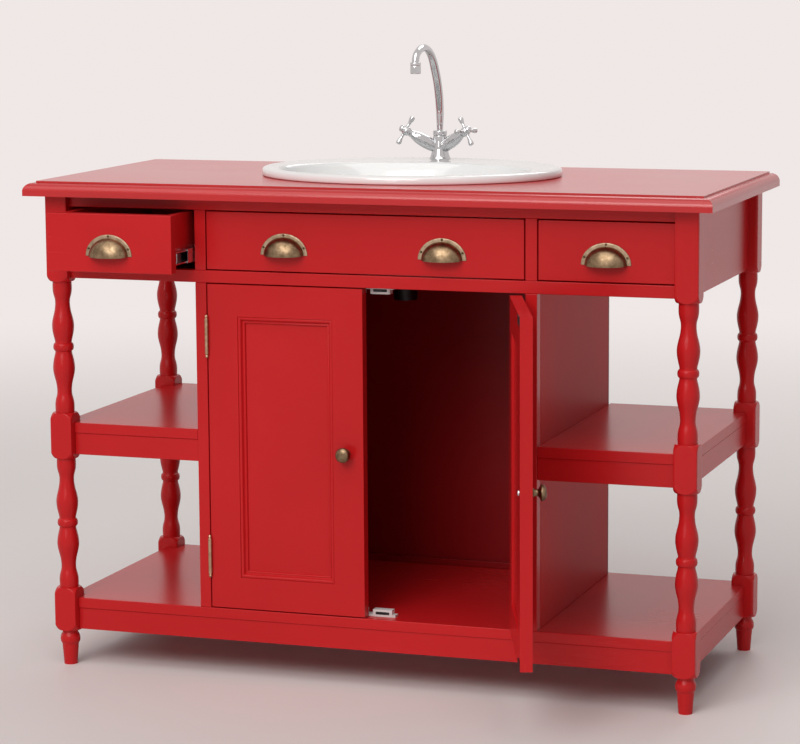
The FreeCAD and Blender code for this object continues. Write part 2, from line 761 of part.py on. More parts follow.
def frame_leaf(side, z):
    """The leaf on the cabinet's stile with the lower knuckle and the pin that the door lifts off."""
    low, high = around(z, "Dims.hinge_barrel_length")
    pin = rod("Dims.hinge_pin_radius", at_side(side, pin_x), pin_y, (z, f"({high} - Dims.hinge_knuckle_end)"))
    return fuse(leaf_plate(side, stile_inner, "-", (low, z)), *knuckle(side, stile_inner, "-", (low, z)), pin)


def door_leaf(side, z):
    """The leaf on the door's edge with the upper knuckle, bored for the pin."""
    high = around(z, "Dims.hinge_barrel_length")[1]
    span = (f"({z} + Dims.hinge_play)", high)
    leaf = fuse(leaf_plate(side, door_far, "+", span), *knuckle(side, door_far, "+", span))
    bore = (span[0], f"({high} - Dims.hinge_knuckle_end + Dims.hinge_play)")
    return cut(leaf, rod("Dims.hinge_pin_radius + Dims.pin_clearance", at_side(side, pin_x), pin_y, bore))


def door(side):
    """All the pieces of one door as it is closed, by name."""
    depth = (frame_front, door_back)
    panel = block(spread(between(side, *light_x), "Dims.panel_tongue"),
                  (panel_face, f"({panel_face} + Dims.panel_thickness)"), spread(light_z, "Dims.panel_tongue"))
    members = [block(between(side, *x), depth, door_z) for x in ((door_near, light_x[0]), (light_x[1], door_far))]
    members += [block(between(side, *light_x), depth, z)
                for z in ((door_z[0], light_z[0]), (light_z[1], door_z[1]))]
    strike_x = between(side, *around("Dims.catch_offset", "Dims.strike_width"))
    strike_y = (door_back, f"({door_back} + Dims.strike_thickness)")
    strike_heights = ((door_z[0], f"({door_z[0]} + Dims.strike_height)"),
                      (f"({door_z[1]} - Dims.strike_height)", door_z[1]))
    return {
        "frame": [cut(member, panel) for member in members],
        "panel": [panel],
        "moulding": [moulding(side)],
        "knob": [copy_at(master_knob, at_side(side, knob_x), frame_front, knob_z, ("0", "0", "90"))],
        "hinge_leaves": [door_leaf(side, z) for z in hinge_heights],
        "strikes": [block(strike_x, strike_y, z) for z in strike_heights],
    }


def swing(parts, angle):
    """Pieces of the right door turned open about its hinge pins."""
    result = group(*parts)
    result.setExpression("Placement", f"placement(vector(0; 0; 0); rotation(vector(0; 0; 1); {angle}); "
                                      f"vector({pin_x}; {pin_y}; 0))")
    return result


master_knob = knob()
for side in sides:
    for name, parts in door(side).items():
        node(group(*parts) if side == "left" else swing(parts, "Dims.right_door_angle"), f"{side}_door_{name}")
node(group(*(frame_leaf(side, z) for side in sides for z in hinge_heights)), "hinge_frame_leaves")


def magnetic_catch(side, seat, upwards):
    """A catch on a seat at height seat, standing up from it or hanging below it."""
    def stand(height):
        return (seat, f"({seat} + {height})") if upwards else (f"({seat} - {height})", seat)

    face = f"({door_back} + Dims.strike_thickness + Dims.strike_gap)"
    depth = (face, f"({face} + Dims.catch_depth)")
    case_x = between(side, *around("Dims.catch_offset", "Dims.catch_width"))
    ears_x = between(side, *around("Dims.catch_offset", "Dims.catch_ears"))
    case = block(case_x, depth, stand("Dims.catch_height"))
    ears = block(ears_x, depth, stand("Dims.catch_ear_height"))
    middle = stand("Dims.catch_height / 2")[1 if upwards else 0]
    slot_x = between(side, *around("Dims.catch_offset", "Dims.catch_slot_width"))
    slot = block(slot_x, (face, f"({face} + Dims.catch_slot)"), around(middle, "Dims.catch_slot"))
    return cut(fuse(case, ears), slot)


node(group(*(magnetic_catch(side, seat, upwards) for side in sides
             for seat, upwards in ((board_top, True), (rail_bottom, False)))), "magnetic_catches")

# Basin: an oval rim on the counter with a bowl below it, set forward to leave a deck for the tap
deck = f"({counter_top} + Dims.basin_rim_height)"
bowl_y = f"({basin_y} + (Dims.bowl_front_rim - Dims.bowl_back_rim) / 2)"
bowl_half_width = "(Dims.basin_width / 2 - Dims.bowl_side_rim)"
bowl_half_length = "((Dims.basin_depth - Dims.bowl_front_rim - Dims.bowl_back_rim) / 2)"
bowl_end_radius = "(Dims.basin_end_radius - Dims.bowl_end_step)"
bowl_floor = f"({deck} - Dims.bowl_depth)"
seat = f"({bowl_floor} - Dims.waste_seat_drop)"
boss_bottom = f"({seat} - Dims.waste_boss_height)"
tap_y = f"({basin_y} + Dims.basin_depth / 2 - Dims.tap_from_back)"
bowl_slopes = (0, 30, 60, 90)


def lofted(sections):
    """A body through ovals, each given by its height and then its middle, half sizes and end radius."""
    body = new_body()
    sketches = [oval(sketch_on(body, "XY_Plane", height), *shape) for height, shape in sections]
    loft = body.newObject("PartDesign::AdditiveLoft", "Loft")
    loft.Profile = sketches[0]
    loft.Sections = sketches[1:]
    loft.Ruled = True
    return body


def bowl(grow):
    """The bowl's form below the deck, larger all round by a distance, falling in as its walls go down."""
    sections = []
    for slope in bowl_slopes:
        inset = f"(Dims.bowl_floor_inset * (1 - cos({slope})) - {grow})"
        shape = (bowl_y, f"({bowl_half_width} - {inset})", f"({bowl_half_length} - {inset})",
                 f"({bowl_end_radius} - {inset})")
        sections.append((f"({deck} - (Dims.bowl_depth + {grow}) * sin({slope}))", shape))
    return lofted(sections)


rim_plate = lofted([(counter_top, basin_oval("0")), (f"({deck} - Dims.basin_rim_round)", basin_oval("0")),
                    (deck, basin_oval("Dims.basin_rim_round"))])
boss = rod("Dims.waste_boss_radius", "0", bowl_y, (boss_bottom, bowl_floor))
tube_hole = "(Dims.waste_tube_radius + Dims.waste_hole_clearance)"
node(cut(fuse(rim_plate, bowl("Dims.basin_wall"), boss), bowl("0"),
         rod("Dims.waste_seat_radius", "0", bowl_y, (seat, deck)),
         rod(tube_hole, "0", bowl_y, (boss_bottom, deck)),
         rod("Dims.tap_hole_radius", "0", tap_y, (counter_top, deck))), "basin")

# Waste: flanged tube with its back nut under the basin and a bar across it that guides the plug's stem
flange_top = f"({seat} + Dims.waste_flange_thickness)"
waste_end = f"({seat} - Dims.waste_length)"
nut_bottom = f"({boss_bottom} - Dims.backnut_height)"
bar_z = (f"({seat} - Dims.waste_bar_drop)", f"({seat} - Dims.waste_bar_drop + Dims.waste_bar)")
tube = turned([
    ("Dims.waste_bore_radius", waste_end), ("Dims.waste_tube_radius", waste_end),
    ("Dims.waste_tube_radius", nut_bottom), ("Dims.backnut_radius", nut_bottom),
    ("Dims.backnut_radius", boss_bottom), ("Dims.waste_tube_radius", boss_bottom),
    ("Dims.waste_tube_radius", seat), ("Dims.waste_flange_radius", seat),
    ("Dims.waste_flange_radius", flange_top), ("Dims.waste_bore_radius", flange_top)])
bar = block(around("0", "Dims.waste_bore_radius + Dims.waste_tube_radius"),
            around(bowl_y, "Dims.waste_bar_width"), bar_z)
stem_hole = rod("Dims.plug_stem_radius + Dims.pin_clearance", "0", bowl_y, bar_z)
node(cut(fuse(copy_at(tube, "0", bowl_y), bar), stem_hole), "waste_body")
cap_low = f"({flange_top} + Dims.plug_lift)"
node(fuse(rod("Dims.plug_stem_radius", "0", bowl_y, (bar_z[0], cap_low)),
          rod("Dims.plug_radius", "0", bowl_y, (cap_low, f"({cap_low} + Dims.plug_thickness)"))), "waste_plug")

# Tap: column with two raised arms, a swan neck that turns in it and a cross handle on each arm
socket_floor = "(Dims.column_height - Dims.spout_socket_depth)"
socket_radius = "(Dims.spout_radius + Dims.pin_clearance)"
shank_end = "(-Dims.tap_shank_length)"
arm_turns = {"right": ("(-Dims.arm_yaw)", "(90 - Dims.arm_rise)", "0"),
             "left": ("(180 + Dims.arm_yaw)", "(90 - Dims.arm_rise)", "0")}
arm_z = f"({deck} + Dims.arm_root_height)"


def tap_arm():
    """Valve arm along Z from the tap's axis: root, barrel, nose and spindle."""
    spindle_end = "(Dims.arm_length + Dims.spindle_length)"
    return turned([
        ("0", "0"), ("Dims.arm_root_radius", "0"), ("Dims.arm_barrel_radius", "Dims.arm_barrel_start"),
        ("Dims.arm_barrel_radius", "Dims.arm_barrel_end"), ("Dims.arm_nose_radius", "Dims.arm_length"),
        ("Dims.spindle_radius", "Dims.arm_length"), ("Dims.spindle_radius", spindle_end), ("0", spindle_end)])


def tap_column():
    """Column on the deck, its shank with the back nut under the deck, and the two inlet tails."""
    nut_top = "(-Dims.basin_rim_height)"
    nut_low = f"({nut_top} - Dims.tap_nut_height)"
    column = turned([
        ("0", shank_end), ("Dims.tap_shank_radius", shank_end), ("Dims.tap_shank_radius", nut_low),
        ("Dims.tap_nut_radius", nut_low), ("Dims.tap_nut_radius", nut_top), ("Dims.tap_shank_radius", nut_top),
        ("Dims.tap_shank_radius", "0"), ("Dims.tap_base_radius", "0"),
        ("Dims.tap_base_radius", "Dims.tap_base_height"), ("Dims.column_radius", "Dims.tap_cone_height"),
        ("Dims.column_radius", "Dims.column_height"), ("0", "Dims.column_height")])
    tail_z = (f"({shank_end} - Dims.tail_length)", shank_end)
    tails = (rod("Dims.tail_radius", at_side(side, "Dims.tail_spacing / 2"), "0", tail_z) for side in sides)
    return copy_at(fuse(column, *tails), "0", tap_y, deck)


arm = tap_arm()
socket = rod(socket_radius, "0", tap_y, (f"({deck} + {socket_floor})", f"({deck} + Dims.column_height)"))
arms = [copy_at(arm, "0", tap_y, arm_z, arm_turns[side]) for side in sides]
node(cut(fuse(tap_column(), *arms), socket), "tap_body")


def cross_handle():
    """Hub with a coned cap and a cross of four spokes with round ends, on the arm's spindle."""
    low = "(Dims.arm_length + Dims.hinge_play)"
    high = f"({low} + Dims.hub_length)"
    cap = f"({high} + Dims.hub_cap)"
    hub = turned([("0", low), ("Dims.arm_nose_radius", low), ("Dims.hub_radius", f"({low} + Dims.hub_foot)"),
                  ("Dims.hub_radius", high), ("Dims.hub_cap_radius", cap), ("0", cap)])
    near, wide = "Dims.spoke_root_radius", "Dims.spoke_end_radius"
    end, tip = "(Dims.spoke_reach - Dims.spoke_tip)", "-Dims.spoke_tip"
    cross = [(end, f"-{wide}", tip), (end, wide), (near, near),
             (wide, end, tip), (f"-{wide}", end), (f"-{near}", near),
             (f"-{end}", wide, tip), (f"-{end}", f"-{wide}"), (f"-{near}", f"-{near}"),
             (f"-{wide}", f"-{end}", tip), (wide, f"-{end}"), (near, f"-{near}")]
    spokes = board(cross, f"({low} + Dims.spoke_height)", "Dims.spoke_thickness")
    bore = rod("Dims.spindle_radius + Dims.pin_clearance", "0", "0", (low, f"({low} + Dims.spindle_length)"))
    return cut(fuse(hub, spokes), bore)


handle = cross_handle()
for label, side in (("hot_handle", "left"), ("cold_handle", "right")):
    node(copy_at(handle, "0", tap_y, arm_z, arm_turns[side]), label)


def swan_neck():
    """A tube swept up, forward over two bends and down; local x runs forward, z up from the deck."""
    lean, turn = "Dims.spout_lean_angle", "Dims.spout_turn_angle"
    route = [("0", f"({socket_floor} + Dims.hinge_play)"), ("0", "Dims.spout_rise")]

    def bend(radius, start, finish):
        x, z = route[-1]
        route[-1] = (x, z, f"{radius} * (1 - cos(({finish} - {start}) / 2))")
        route.append((f"({x} + {radius} * (cos({start}) - cos({finish})))",
                      f"({z} + {radius} * (sin({finish}) - sin({start})))"))

    bend("Dims.spout_bend_low", "0", lean)
    x, z = route[-1]
    route.append((f"({x} + Dims.spout_slope * sin({lean}))", f"({z} + Dims.spout_slope * cos({lean}))"))
    bend("Dims.spout_bend_high", lean, turn)
    bend("Dims.spout_bend_end", turn, "180")
    body = new_body()
    section = circle(sketch_on(body, "XY_Plane", route[0][1]), "0", "0", "Dims.spout_radius")
    path = outline(sketch_on(body, "XZ_Plane"), route, closed=False)
    sweep = body.newObject("PartDesign::AdditivePipe", "Sweep")
    sweep.Profile = section
    sweep.Spine = path
    return body, route[-1]


neck, outlet = swan_neck()
node(copy_at(neck, "0", tap_y, deck, ("-90", "0", "0")), "tap_spout")
outlet_y = f"({tap_y} - ({outlet[0]}))"
outlet_z = f"({deck} + {outlet[1]})"
aerator_z = (f"({outlet_z} - Dims.aerator_height)", outlet_z)
node(rod("Dims.aerator_radius", "0", outlet_y, aerator_z), "tap_aerator")

# Every feature must have worked before the files are written
doc.recompute()
for part in doc.Objects:
    if {"Invalid", "Error"} & set(part.State):
        raise RuntimeError(f"{part.Name} ({part.Label}) failed: {part.State}")
for part in nodes:
    if part.Shape.isNull() or not part.Shape.isValid():
        raise RuntimeError(f"{part.Label} has no valid shape")
    part.Shape.exportStep(f"parts/{part.Label}.step")
print(f"{len(nodes)} sub-parts written")
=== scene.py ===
import json
import math

import bmesh
import bpy
import numpy as np
from mathutils import Matrix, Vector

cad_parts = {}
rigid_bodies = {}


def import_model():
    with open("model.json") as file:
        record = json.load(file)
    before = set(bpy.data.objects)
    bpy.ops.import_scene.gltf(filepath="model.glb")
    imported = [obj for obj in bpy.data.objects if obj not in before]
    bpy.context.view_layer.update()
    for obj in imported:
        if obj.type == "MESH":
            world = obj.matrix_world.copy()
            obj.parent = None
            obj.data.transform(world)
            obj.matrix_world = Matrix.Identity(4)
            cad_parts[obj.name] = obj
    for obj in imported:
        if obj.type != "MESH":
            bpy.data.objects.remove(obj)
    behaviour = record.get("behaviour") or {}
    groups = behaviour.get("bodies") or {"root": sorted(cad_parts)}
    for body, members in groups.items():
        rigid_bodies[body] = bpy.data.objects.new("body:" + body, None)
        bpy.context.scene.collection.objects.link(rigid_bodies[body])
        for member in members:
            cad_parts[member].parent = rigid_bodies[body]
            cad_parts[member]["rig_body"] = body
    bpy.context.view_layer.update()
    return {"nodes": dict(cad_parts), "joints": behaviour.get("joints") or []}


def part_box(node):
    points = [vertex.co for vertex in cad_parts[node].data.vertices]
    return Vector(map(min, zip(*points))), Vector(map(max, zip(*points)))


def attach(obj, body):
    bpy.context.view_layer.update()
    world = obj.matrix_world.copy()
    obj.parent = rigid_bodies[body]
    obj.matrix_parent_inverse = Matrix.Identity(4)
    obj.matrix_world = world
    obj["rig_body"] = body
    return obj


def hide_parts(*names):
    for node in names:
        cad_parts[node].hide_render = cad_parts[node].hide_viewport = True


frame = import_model()
nodes = frame["nodes"]
joints = {joint["name"]: joint for joint in frame["joints"]}
mm = 0.001
weld = 1e-6  # points closer than this are one, in metres
sliver = 1e-7  # edges shorter than this are dropped, in metres
print("frame loaded:", len(nodes), "solids")


# wraps a socket so that shader maths reads as plain expressions
class Value:
    def __init__(self, finish, socket):
        self.finish = finish
        self.socket = socket

    def maths(self, operation, first, second):
        return self.finish.node("ShaderNodeMath", {"operation": operation}, {0: first, 1: second})

    def __add__(self, other):
        return self.maths("ADD", self, other)

    def __sub__(self, other):
        return self.maths("SUBTRACT", self, other)

    def __rsub__(self, other):
        return self.maths("SUBTRACT", other, self)

    def __mul__(self, other):
        return self.maths("MULTIPLY", self, other)

    __radd__ = __add__
    __rmul__ = __mul__


# one material, or the world, and the nodes behind it
class Finish:
    def __init__(self, name, owner=None):
        self.material = owner or bpy.data.materials.new(name)
        self.material.use_nodes = True
        self.tree = self.material.node_tree
        self.tree.nodes.clear()

    # type of node, settings made first, then values or links of its sockets; gives one output
    def node(self, kind, settings=None, sockets=None, output=0):
        made = self.tree.nodes.new(kind)
        for key, value in (settings or {}).items():
            if key == "stops":
                ramp = made.color_ramp.elements
                while len(ramp) < len(value):
                    ramp.new(0.5)
                for stop, (place, shade) in zip(ramp, value):
                    stop.position = place
                    stop.color = (*shade, 1)
            else:
                setattr(made, key, value)
        for key, value in (sockets or {}).items():
            if isinstance(value, Value):
                self.tree.links.new(value.socket, made.inputs[key])
            else:
                made.inputs[key].default_value = value
        return Value(self, made.outputs[output]) if made.outputs else None

    def place(self, scale=(1, 1, 1)):
        coords = self.node("ShaderNodeTexCoord", output="Object")
        return self.node("ShaderNodeMapping", {}, {"Vector": coords, "Scale": scale})

    def noise(self, scale, detail=2.0, rough=0.5, stretch=(1, 1, 1)):
        return self.node("ShaderNodeTexNoise", {}, {"Vector": self.place(stretch), "Scale": scale, "Detail": detail,
                                                    "Roughness": rough}, output="Fac")

    def ramp(self, value, stops):
        return self.node("ShaderNodeValToRGB", {"stops": stops}, {"Fac": value})

    # two tones, at the usual low and high of a noise
    def tones(self, value, look):
        return self.ramp(value, [(0.3, look["deep"]), (0.7, look["bright"])])

    def bump(self, height, strength, distance):
        return self.node("ShaderNodeBump", {}, {"Height": height, "Strength": strength, "Distance": distance},
                         output="Normal")

    # 1 for what the camera sees directly, in a gloss or through glass, 0 for light on its way to a surface
    def shown(self):
        ways = [self.node("ShaderNodeLightPath", output=f"Is {way} Ray")
                for way in ("Camera", "Glossy", "Transmission")]
        return ways[0].maths("MAXIMUM", ways[0].maths("MAXIMUM", *ways[:2]), ways[2])

    def shade(self, **sockets):
        names = {key.replace("_", " "): value for key, value in sockets.items()}
        surface = self.node("ShaderNodeBsdfPrincipled", {}, names)
        self.node("ShaderNodeOutputMaterial", {}, {"Surface": surface})
        return self.material


# satin paint on wood: a faint drift of colour, brush marks along the boards and a fine skin of orange peel; a look
# with a painted shade colour turns all in front of a given depth darker
def paintFinish(name, look):
    finish = Finish(name)
    drift = finish.noise(look["driftScale"])
    colour = finish.tones(drift, look)
    # painted shade: in front of the given depth the colour turns to a darker red, for the shade inside the cabinet
    if "inside" in look:
        depth = finish.node("ShaderNodeSeparateXYZ", {}, {0: finish.place()}, output="Y")
        inShade = depth.maths("LESS_THAN", depth, look["insideUpTo"])
        colour = finish.node("ShaderNodeMix", {"data_type": "RGBA"},
                             {0: inShade, 6: colour, 7: (*look["inside"], 1)}, output=2)
    peel = finish.noise(look["peelScale"])
    brush = finish.noise(look["brushScale"], detail=3.0, rough=0.6, stretch=look["grain"])
    skin = peel * look["peelShare"] + brush * look["brushShare"]
    uneven = drift * look["driftRough"] + brush * look["brushRough"]
    rough = look["rough"] + uneven - (look["driftRough"] + look["brushRough"]) / 2
    return finish.shade(Base_Color=colour, Roughness=rough, Specular_IOR_Level=look["mirror"],
                        Normal=finish.bump(skin, look["relief"], look["reliefDepth"]))


paintLook = {"deep": (0.50, 0.0105, 0.0125), "bright": (0.55, 0.013, 0.0155), "driftScale": 3.5, "peelScale": 420.0,
             "brushScale": 90.0, "grain": (1, 1, 0.05), "peelShare": 0.35, "brushShare": 0.65, "relief": 0.0015,
             "reliefDepth": 0.0004, "rough": 0.26, "driftRough": 0.06, "brushRough": 0.02, "mirror": 0.2}
uprightPaint = paintFinish("red_paint_upright", paintLook)
levelPaint = paintFinish("red_paint_level", {**paintLook, "grain": (0.05, 1, 1)})
depthPaint = paintFinish("red_paint_depth", {**paintLook, "grain": (1, 0.05, 1)})
bayPaint = paintFinish("red_paint_bay", {**paintLook, "rough": 0.42, "mirror": 0.06})
counterPaint = paintFinish("red_paint_counter", {**paintLook, "grain": (0.05, 1, 1), "rough": 0.2, "mirror": 0.5})
# back panel: painted shade, a darker red on all but its outer back face, for the shade inside the cabinet
shadedPanelPaint = paintFinish("red_paint_panel_painted_shade", {**paintLook, "inside": (0.25, 0.005, 0.007), "rough": 0.34,
                                             "insideUpTo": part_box("cabinet_back")[1].y - 2 * mm})  # all but its back


# aged metal: cloudy tarnish over a bright ground, rougher where it is dark
def agedMetal(name, look):
    look = {**metalLook, **look}
    finish = Finish(name)
    cloud = finish.noise(look["cloudScale"], detail=4.0, rough=0.6)
    speck = finish.noise(look["speckScale"])
    wear = cloud * look["cloudShare"] + speck * look["speckShare"]
    colour = finish.ramp(wear, list(zip(look["places"], (look["dark"], look["mid"], look["light"]))))
    rough = look["rough"] + (1 - wear) * look["dulling"]
    return finish.shade(Base_Color=colour, Metallic=1.0, Roughness=rough,
                        Normal=finish.bump(speck, look["relief"], look["reliefDepth"]))


# what the metals share, unless one says otherwise
metalLook = {"cloudShare": 0.75, "speckShare": 0.25, "places": (0.32, 0.52, 0.72), "speckScale": 900.0,
             "dulling": 0.2, "relief": 0.1, "reliefDepth": 0.0002}
brass = agedMetal("antique_brass", {
    "dark": (0.10, 0.066, 0.036), "mid": (0.22, 0.15, 0.088), "light": (0.34, 0.245, 0.15),
    "cloudScale": 95.0, "rough": 0.22})
wornBrass = agedMetal("worn_brass", {
    "dark": (0.22, 0.155, 0.10), "mid": (0.35, 0.255, 0.17), "light": (0.46, 0.35, 0.24),
    "cloudScale": 120.0, "rough": 0.34})
hingeBrass = agedMetal("hinge_brass", {
    "dark": (0.30, 0.19, 0.115), "mid": (0.48, 0.32, 0.205), "light": (0.62, 0.45, 0.31),
    "cloudScale": 110.0, "rough": 0.26})
nailBrass = agedMetal("nail_brass", {
    "dark": (0.05, 0.034, 0.018), "mid": (0.10, 0.07, 0.038), "light": (0.2, 0.15, 0.08),
    "cloudScale": 300.0, "speckScale": 1500.0, "rough": 0.35})
zincSteel = agedMetal("zinc_steel", {
    "dark": (0.50, 0.51, 0.53), "mid": (0.62, 0.63, 0.65), "light": (0.74, 0.75, 0.77),
    "cloudScale": 60.0, "speckScale": 1200.0, "rough": 0.16, "dulling": 0.18, "relief": 0.06})
# steel far darker than its own colour: the catches' dark magnets, and painted shade on the door strikes and the waste
# tube in the cabinet's dark
darkSteelAndShade = agedMetal("dark_steel_and_painted_shade", {
    "dark": (0.025, 0.024, 0.025), "mid": (0.04, 0.039, 0.04), "light": (0.065, 0.063, 0.065),
    "cloudScale": 60.0, "speckScale": 1200.0, "rough": 0.42, "relief": 0.06})
chrome = agedMetal("tap_chrome", {
    "dark": (0.50, 0.505, 0.515), "mid": (0.55, 0.555, 0.565), "light": (0.59, 0.595, 0.605),
    "cloudScale": 30.0, "speckScale": 700.0, "rough": 0.035, "dulling": 0.05, "relief": 0.0005})


# glaze: white body colour with a slow drift and a glossy coat that waves a little
def glazeFinish(name, look):
    finish = Finish(name)
    drift = finish.noise(look["driftScale"])
    wave = finish.noise(look["waveScale"])
    return finish.shade(Base_Color=finish.tones(drift, look), Roughness=wave * look["waveRough"] + look["rough"],
                        Coat_Weight=drift * look["coatDrift"] + look["coat"], Coat_Roughness=look["coatRough"],
                        Normal=finish.bump(wave, look["relief"], look["reliefDepth"]))


# moulded plastic: even colour with a fine spark texture
def plasticFinish(name, look):
    finish = Finish(name)
    spark = finish.noise(look["sparkScale"])
    drift = finish.noise(look["driftScale"])
    return finish.shade(Base_Color=finish.tones(drift, look), Roughness=spark * look["sparkRough"] + look["rough"],
                        Normal=finish.bump(spark, look["relief"], look["reliefDepth"]))


glazeLook = {"deep": (0.83, 0.83, 0.825), "bright": (0.88, 0.88, 0.875), "driftScale": 6.0, "waveScale": 28.0,
             "rough": 0.06, "waveRough": 0.05, "coat": 0.5, "coatDrift": 0.2, "coatRough": 0.04, "relief": 0.006,
             "reliefDepth": 0.001}
plasticLook = {"deep": (0.60, 0.60, 0.59), "bright": (0.70, 0.70, 0.69), "driftScale": 40.0, "sparkScale": 1500.0,
               "rough": 0.3, "sparkRough": 0.15, "relief": 0.15, "reliefDepth": 0.0002}
glaze = glazeFinish("basin_glaze", glazeLook)
catchPlastic = plasticFinish("catch_plastic", plasticLook)
blackPlastic = plasticFinish("stop_plastic", {**plasticLook, "deep": (0.012, 0.012, 0.013),
                                              "bright": (0.022, 0.022, 0.024), "rough": 0.35})
print("finishes ready")


# corner cutting: each pass puts points at a quarter and three quarters of every run, so a doubled point stays sharp
def rounded(points, passes=2, closed=False):
    line = np.asarray(points, float)
    for _ in range(passes):
        ahead = np.roll(line, -1, 0) if closed else line[1:]
        here = line if closed else line[:-1]
        cut = np.stack([0.75 * here + 0.25 * ahead, 0.25 * here + 0.75 * ahead], 1).reshape(-1, line.shape[1])
        line = cut if closed else np.concatenate([line[:1], cut, line[-1:]])
    return line


# turned form: radius and height of the profile, carried once round the upright axis
def lathe(profile, around=64):
    turn = np.linspace(0, 2 * np.pi, around, endpoint=False)
    radius, height = profile[:, :1], profile[:, 1:]
    return np.stack([radius * np.cos(turn), radius * np.sin(turn), height + 0 * turn], -1)


# the upright axis laid along a sloping or level direction, with the first side axis kept level
def alongAxis(points, origin, direction):
    ahead = np.asarray(direction, float) / np.linalg.norm(direction)
    side = np.cross((0, 0, 1), ahead)
    side = side / np.linalg.norm(side)
    return np.asarray(origin) + points @ np.stack([side, np.cross(ahead, side), ahead])


# points turned about an upright pin
def swung(points, pin, degrees):
    angle = math.radians(degrees)
    spin = np.array([[math.cos(angle), -math.sin(angle), 0], [math.sin(angle), math.cos(angle), 0], [0, 0, 1]])
    return (points - pin) @ spin.T + pin


# quads between the rows and columns of a grid of points, joined up where a direction closes on itself
def gridFaces(rows, columns, rowsClose, columnsClose):
    row, column = np.meshgrid(np.arange(rows - (not rowsClose)), np.arange(columns - (not columnsClose)),
                              indexing="ij")
    nextRow, nextColumn = (row + 1) % rows, (column + 1) % columns
    corners = (row * columns + column, row * columns + nextColumn, nextRow * columns + nextColumn,
               nextRow * columns + column)
    return np.stack(corners, -1).reshape(-1, 4)


def addObject(name, data):
    made = bpy.data.objects.new(name, data)
    bpy.context.scene.collection.objects.link(made)
    return made


# one object from several grids, in metres, with its normals turned outwards; a grid of points alone closes round its
# columns, any other is (points, rowsClose, columnsClose)
def makePiece(name, grids, material, body, replaced=(), sharp=40):
    corners, faces, count = [], [], 0
    for grid in grids:
        points, rowsClose, columnsClose = grid if isinstance(grid, tuple) else (grid, False, True)
        faces.append(gridFaces(*points.shape[:2], rowsClose, columnsClose) + count)
        corners.append(points.reshape(-1, 3))
        count += len(corners[-1])
    mesh = bpy.data.meshes.new(name)
    mesh.from_pydata(np.concatenate(corners).tolist(), [], np.concatenate(faces).tolist())
    work = bmesh.new()
    work.from_mesh(mesh)
    bmesh.ops.remove_doubles(work, verts=work.verts, dist=weld)
    bmesh.ops.dissolve_degenerate(work, dist=sliver, edges=work.edges)
    bmesh.ops.recalc_face_normals(work, faces=work.faces)
    work.to_mesh(mesh)
    work.free()
    showPiece(name, mesh, material, body, replaced, sharp)


# smooth shading up to an angle in degrees, a finish, and what the piece rides on and stands for
def showPiece(name, mesh, material, body, replaced, sharp):
    mesh.shade_smooth()
    mesh.set_sharp_from_angle(angle=math.radians(sharp))
    mesh.materials.clear()
    mesh.materials.append(material)
    piece = addObject(name, mesh)
    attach(piece, body)
    if replaced:
        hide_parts(*replaced)
    return piece


# lengths in mm, angles in degrees
boardShape = {"ease": 1.2, "segments": 2, "flatWithin": 0.5, "corner": 35.0, "sharp": 30.0}


# a board with eased edges: the solid's own faces, joined flat, with a small round on every edge
def easedBoard(node, material, shape):
    mesh = nodes[node].data.copy()
    mesh.name = f"{node}_eased"
    work = bmesh.new()
    work.from_mesh(mesh)
    bmesh.ops.remove_doubles(work, verts=work.verts, dist=weld)
    bmesh.ops.dissolve_limit(work, angle_limit=math.radians(shape["flatWithin"]), verts=work.verts, edges=work.edges)
    work.to_mesh(mesh)
    work.free()
    piece = showPiece(f"{node}_eased", mesh, material, nodes[node]["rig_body"], (node,), shape["sharp"])
    bevel = piece.modifiers.new("ease", "BEVEL")
    bevel.width = shape["ease"] * mm
    bevel.segments = shape["segments"]
    bevel.limit_method = "ANGLE"
    bevel.angle_limit = math.radians(shape["corner"])
    bevel.harden_normals = True


boards = {
    "countertop": counterPaint, "front_top_rail": levelPaint, "front_drawer_rail": levelPaint,
    "frame_stiles": uprightPaint, "side_aprons": depthPaint, "back_apron": levelPaint, "cabinet_sides": bayPaint,
    "cabinet_back": shadedPanelPaint, "bottom_board": levelPaint, "bottom_rails": levelPaint, "side_shelves": depthPaint,
    "shelf_rails": levelPaint, "centre_front": levelPaint, "left_drawer_front": levelPaint,
    "right_drawer_front": levelPaint, "left_drawer_box": depthPaint, "right_drawer_box": depthPaint,
}
for node, material in boards.items():
    easedBoard(node, material, boardShape)

# solids that are shown as they are, by finish
plainSolids = (
    (depthPaint, ("counter_blocks", "centre_front_cleats", "slide_bearers", "left_drawer_bottom",
                  "right_drawer_bottom")),
    (uprightPaint, ("left_door_panel", "right_door_panel")),
    (zincSteel, ("slide_outer_members", "left_slide_middle", "right_slide_middle", "left_slide_inner",
                 "right_slide_inner")),
    # the door strikes: painted shade, dark steel so that they sink into the shade on the doors' inner faces
    (darkSteelAndShade, ("left_door_strikes", "right_door_strikes")),
    (catchPlastic, ("magnetic_catches",)),
    (hingeBrass, ("hinge_frame_leaves", "left_door_hinge_leaves", "right_door_hinge_leaves")),
)
for material, names in plainSolids:
    for node in names:
        nodes[node].data.materials.clear()
        nodes[node].data.materials.append(material)
print("boards eased")


# rounded pad, in mm: a squarish oval, |x|^n + |z|^n = 1, carried from front to back and drawn in at both edges
def roundedPad(width, depth, height, ease=0.4, power=7, around=48):
    turn = np.linspace(0, 2 * np.pi, around, endpoint=False)
    x, z = (np.sign(wave) * np.abs(wave) ** (2 / power) for wave in (np.cos(turn), np.sin(turn)))
    toMiddle = max(width, height)
    inset = np.array((toMiddle, ease, 0, 0, ease, toMiddle))[:, None]
    along = np.array((0, 0, ease, depth - ease, depth, depth))[:, None] + 0 * turn
    return np.stack([np.maximum(width / 2 - inset, 0) * x, along, np.maximum(height / 2 - inset, 0) * z], -1)


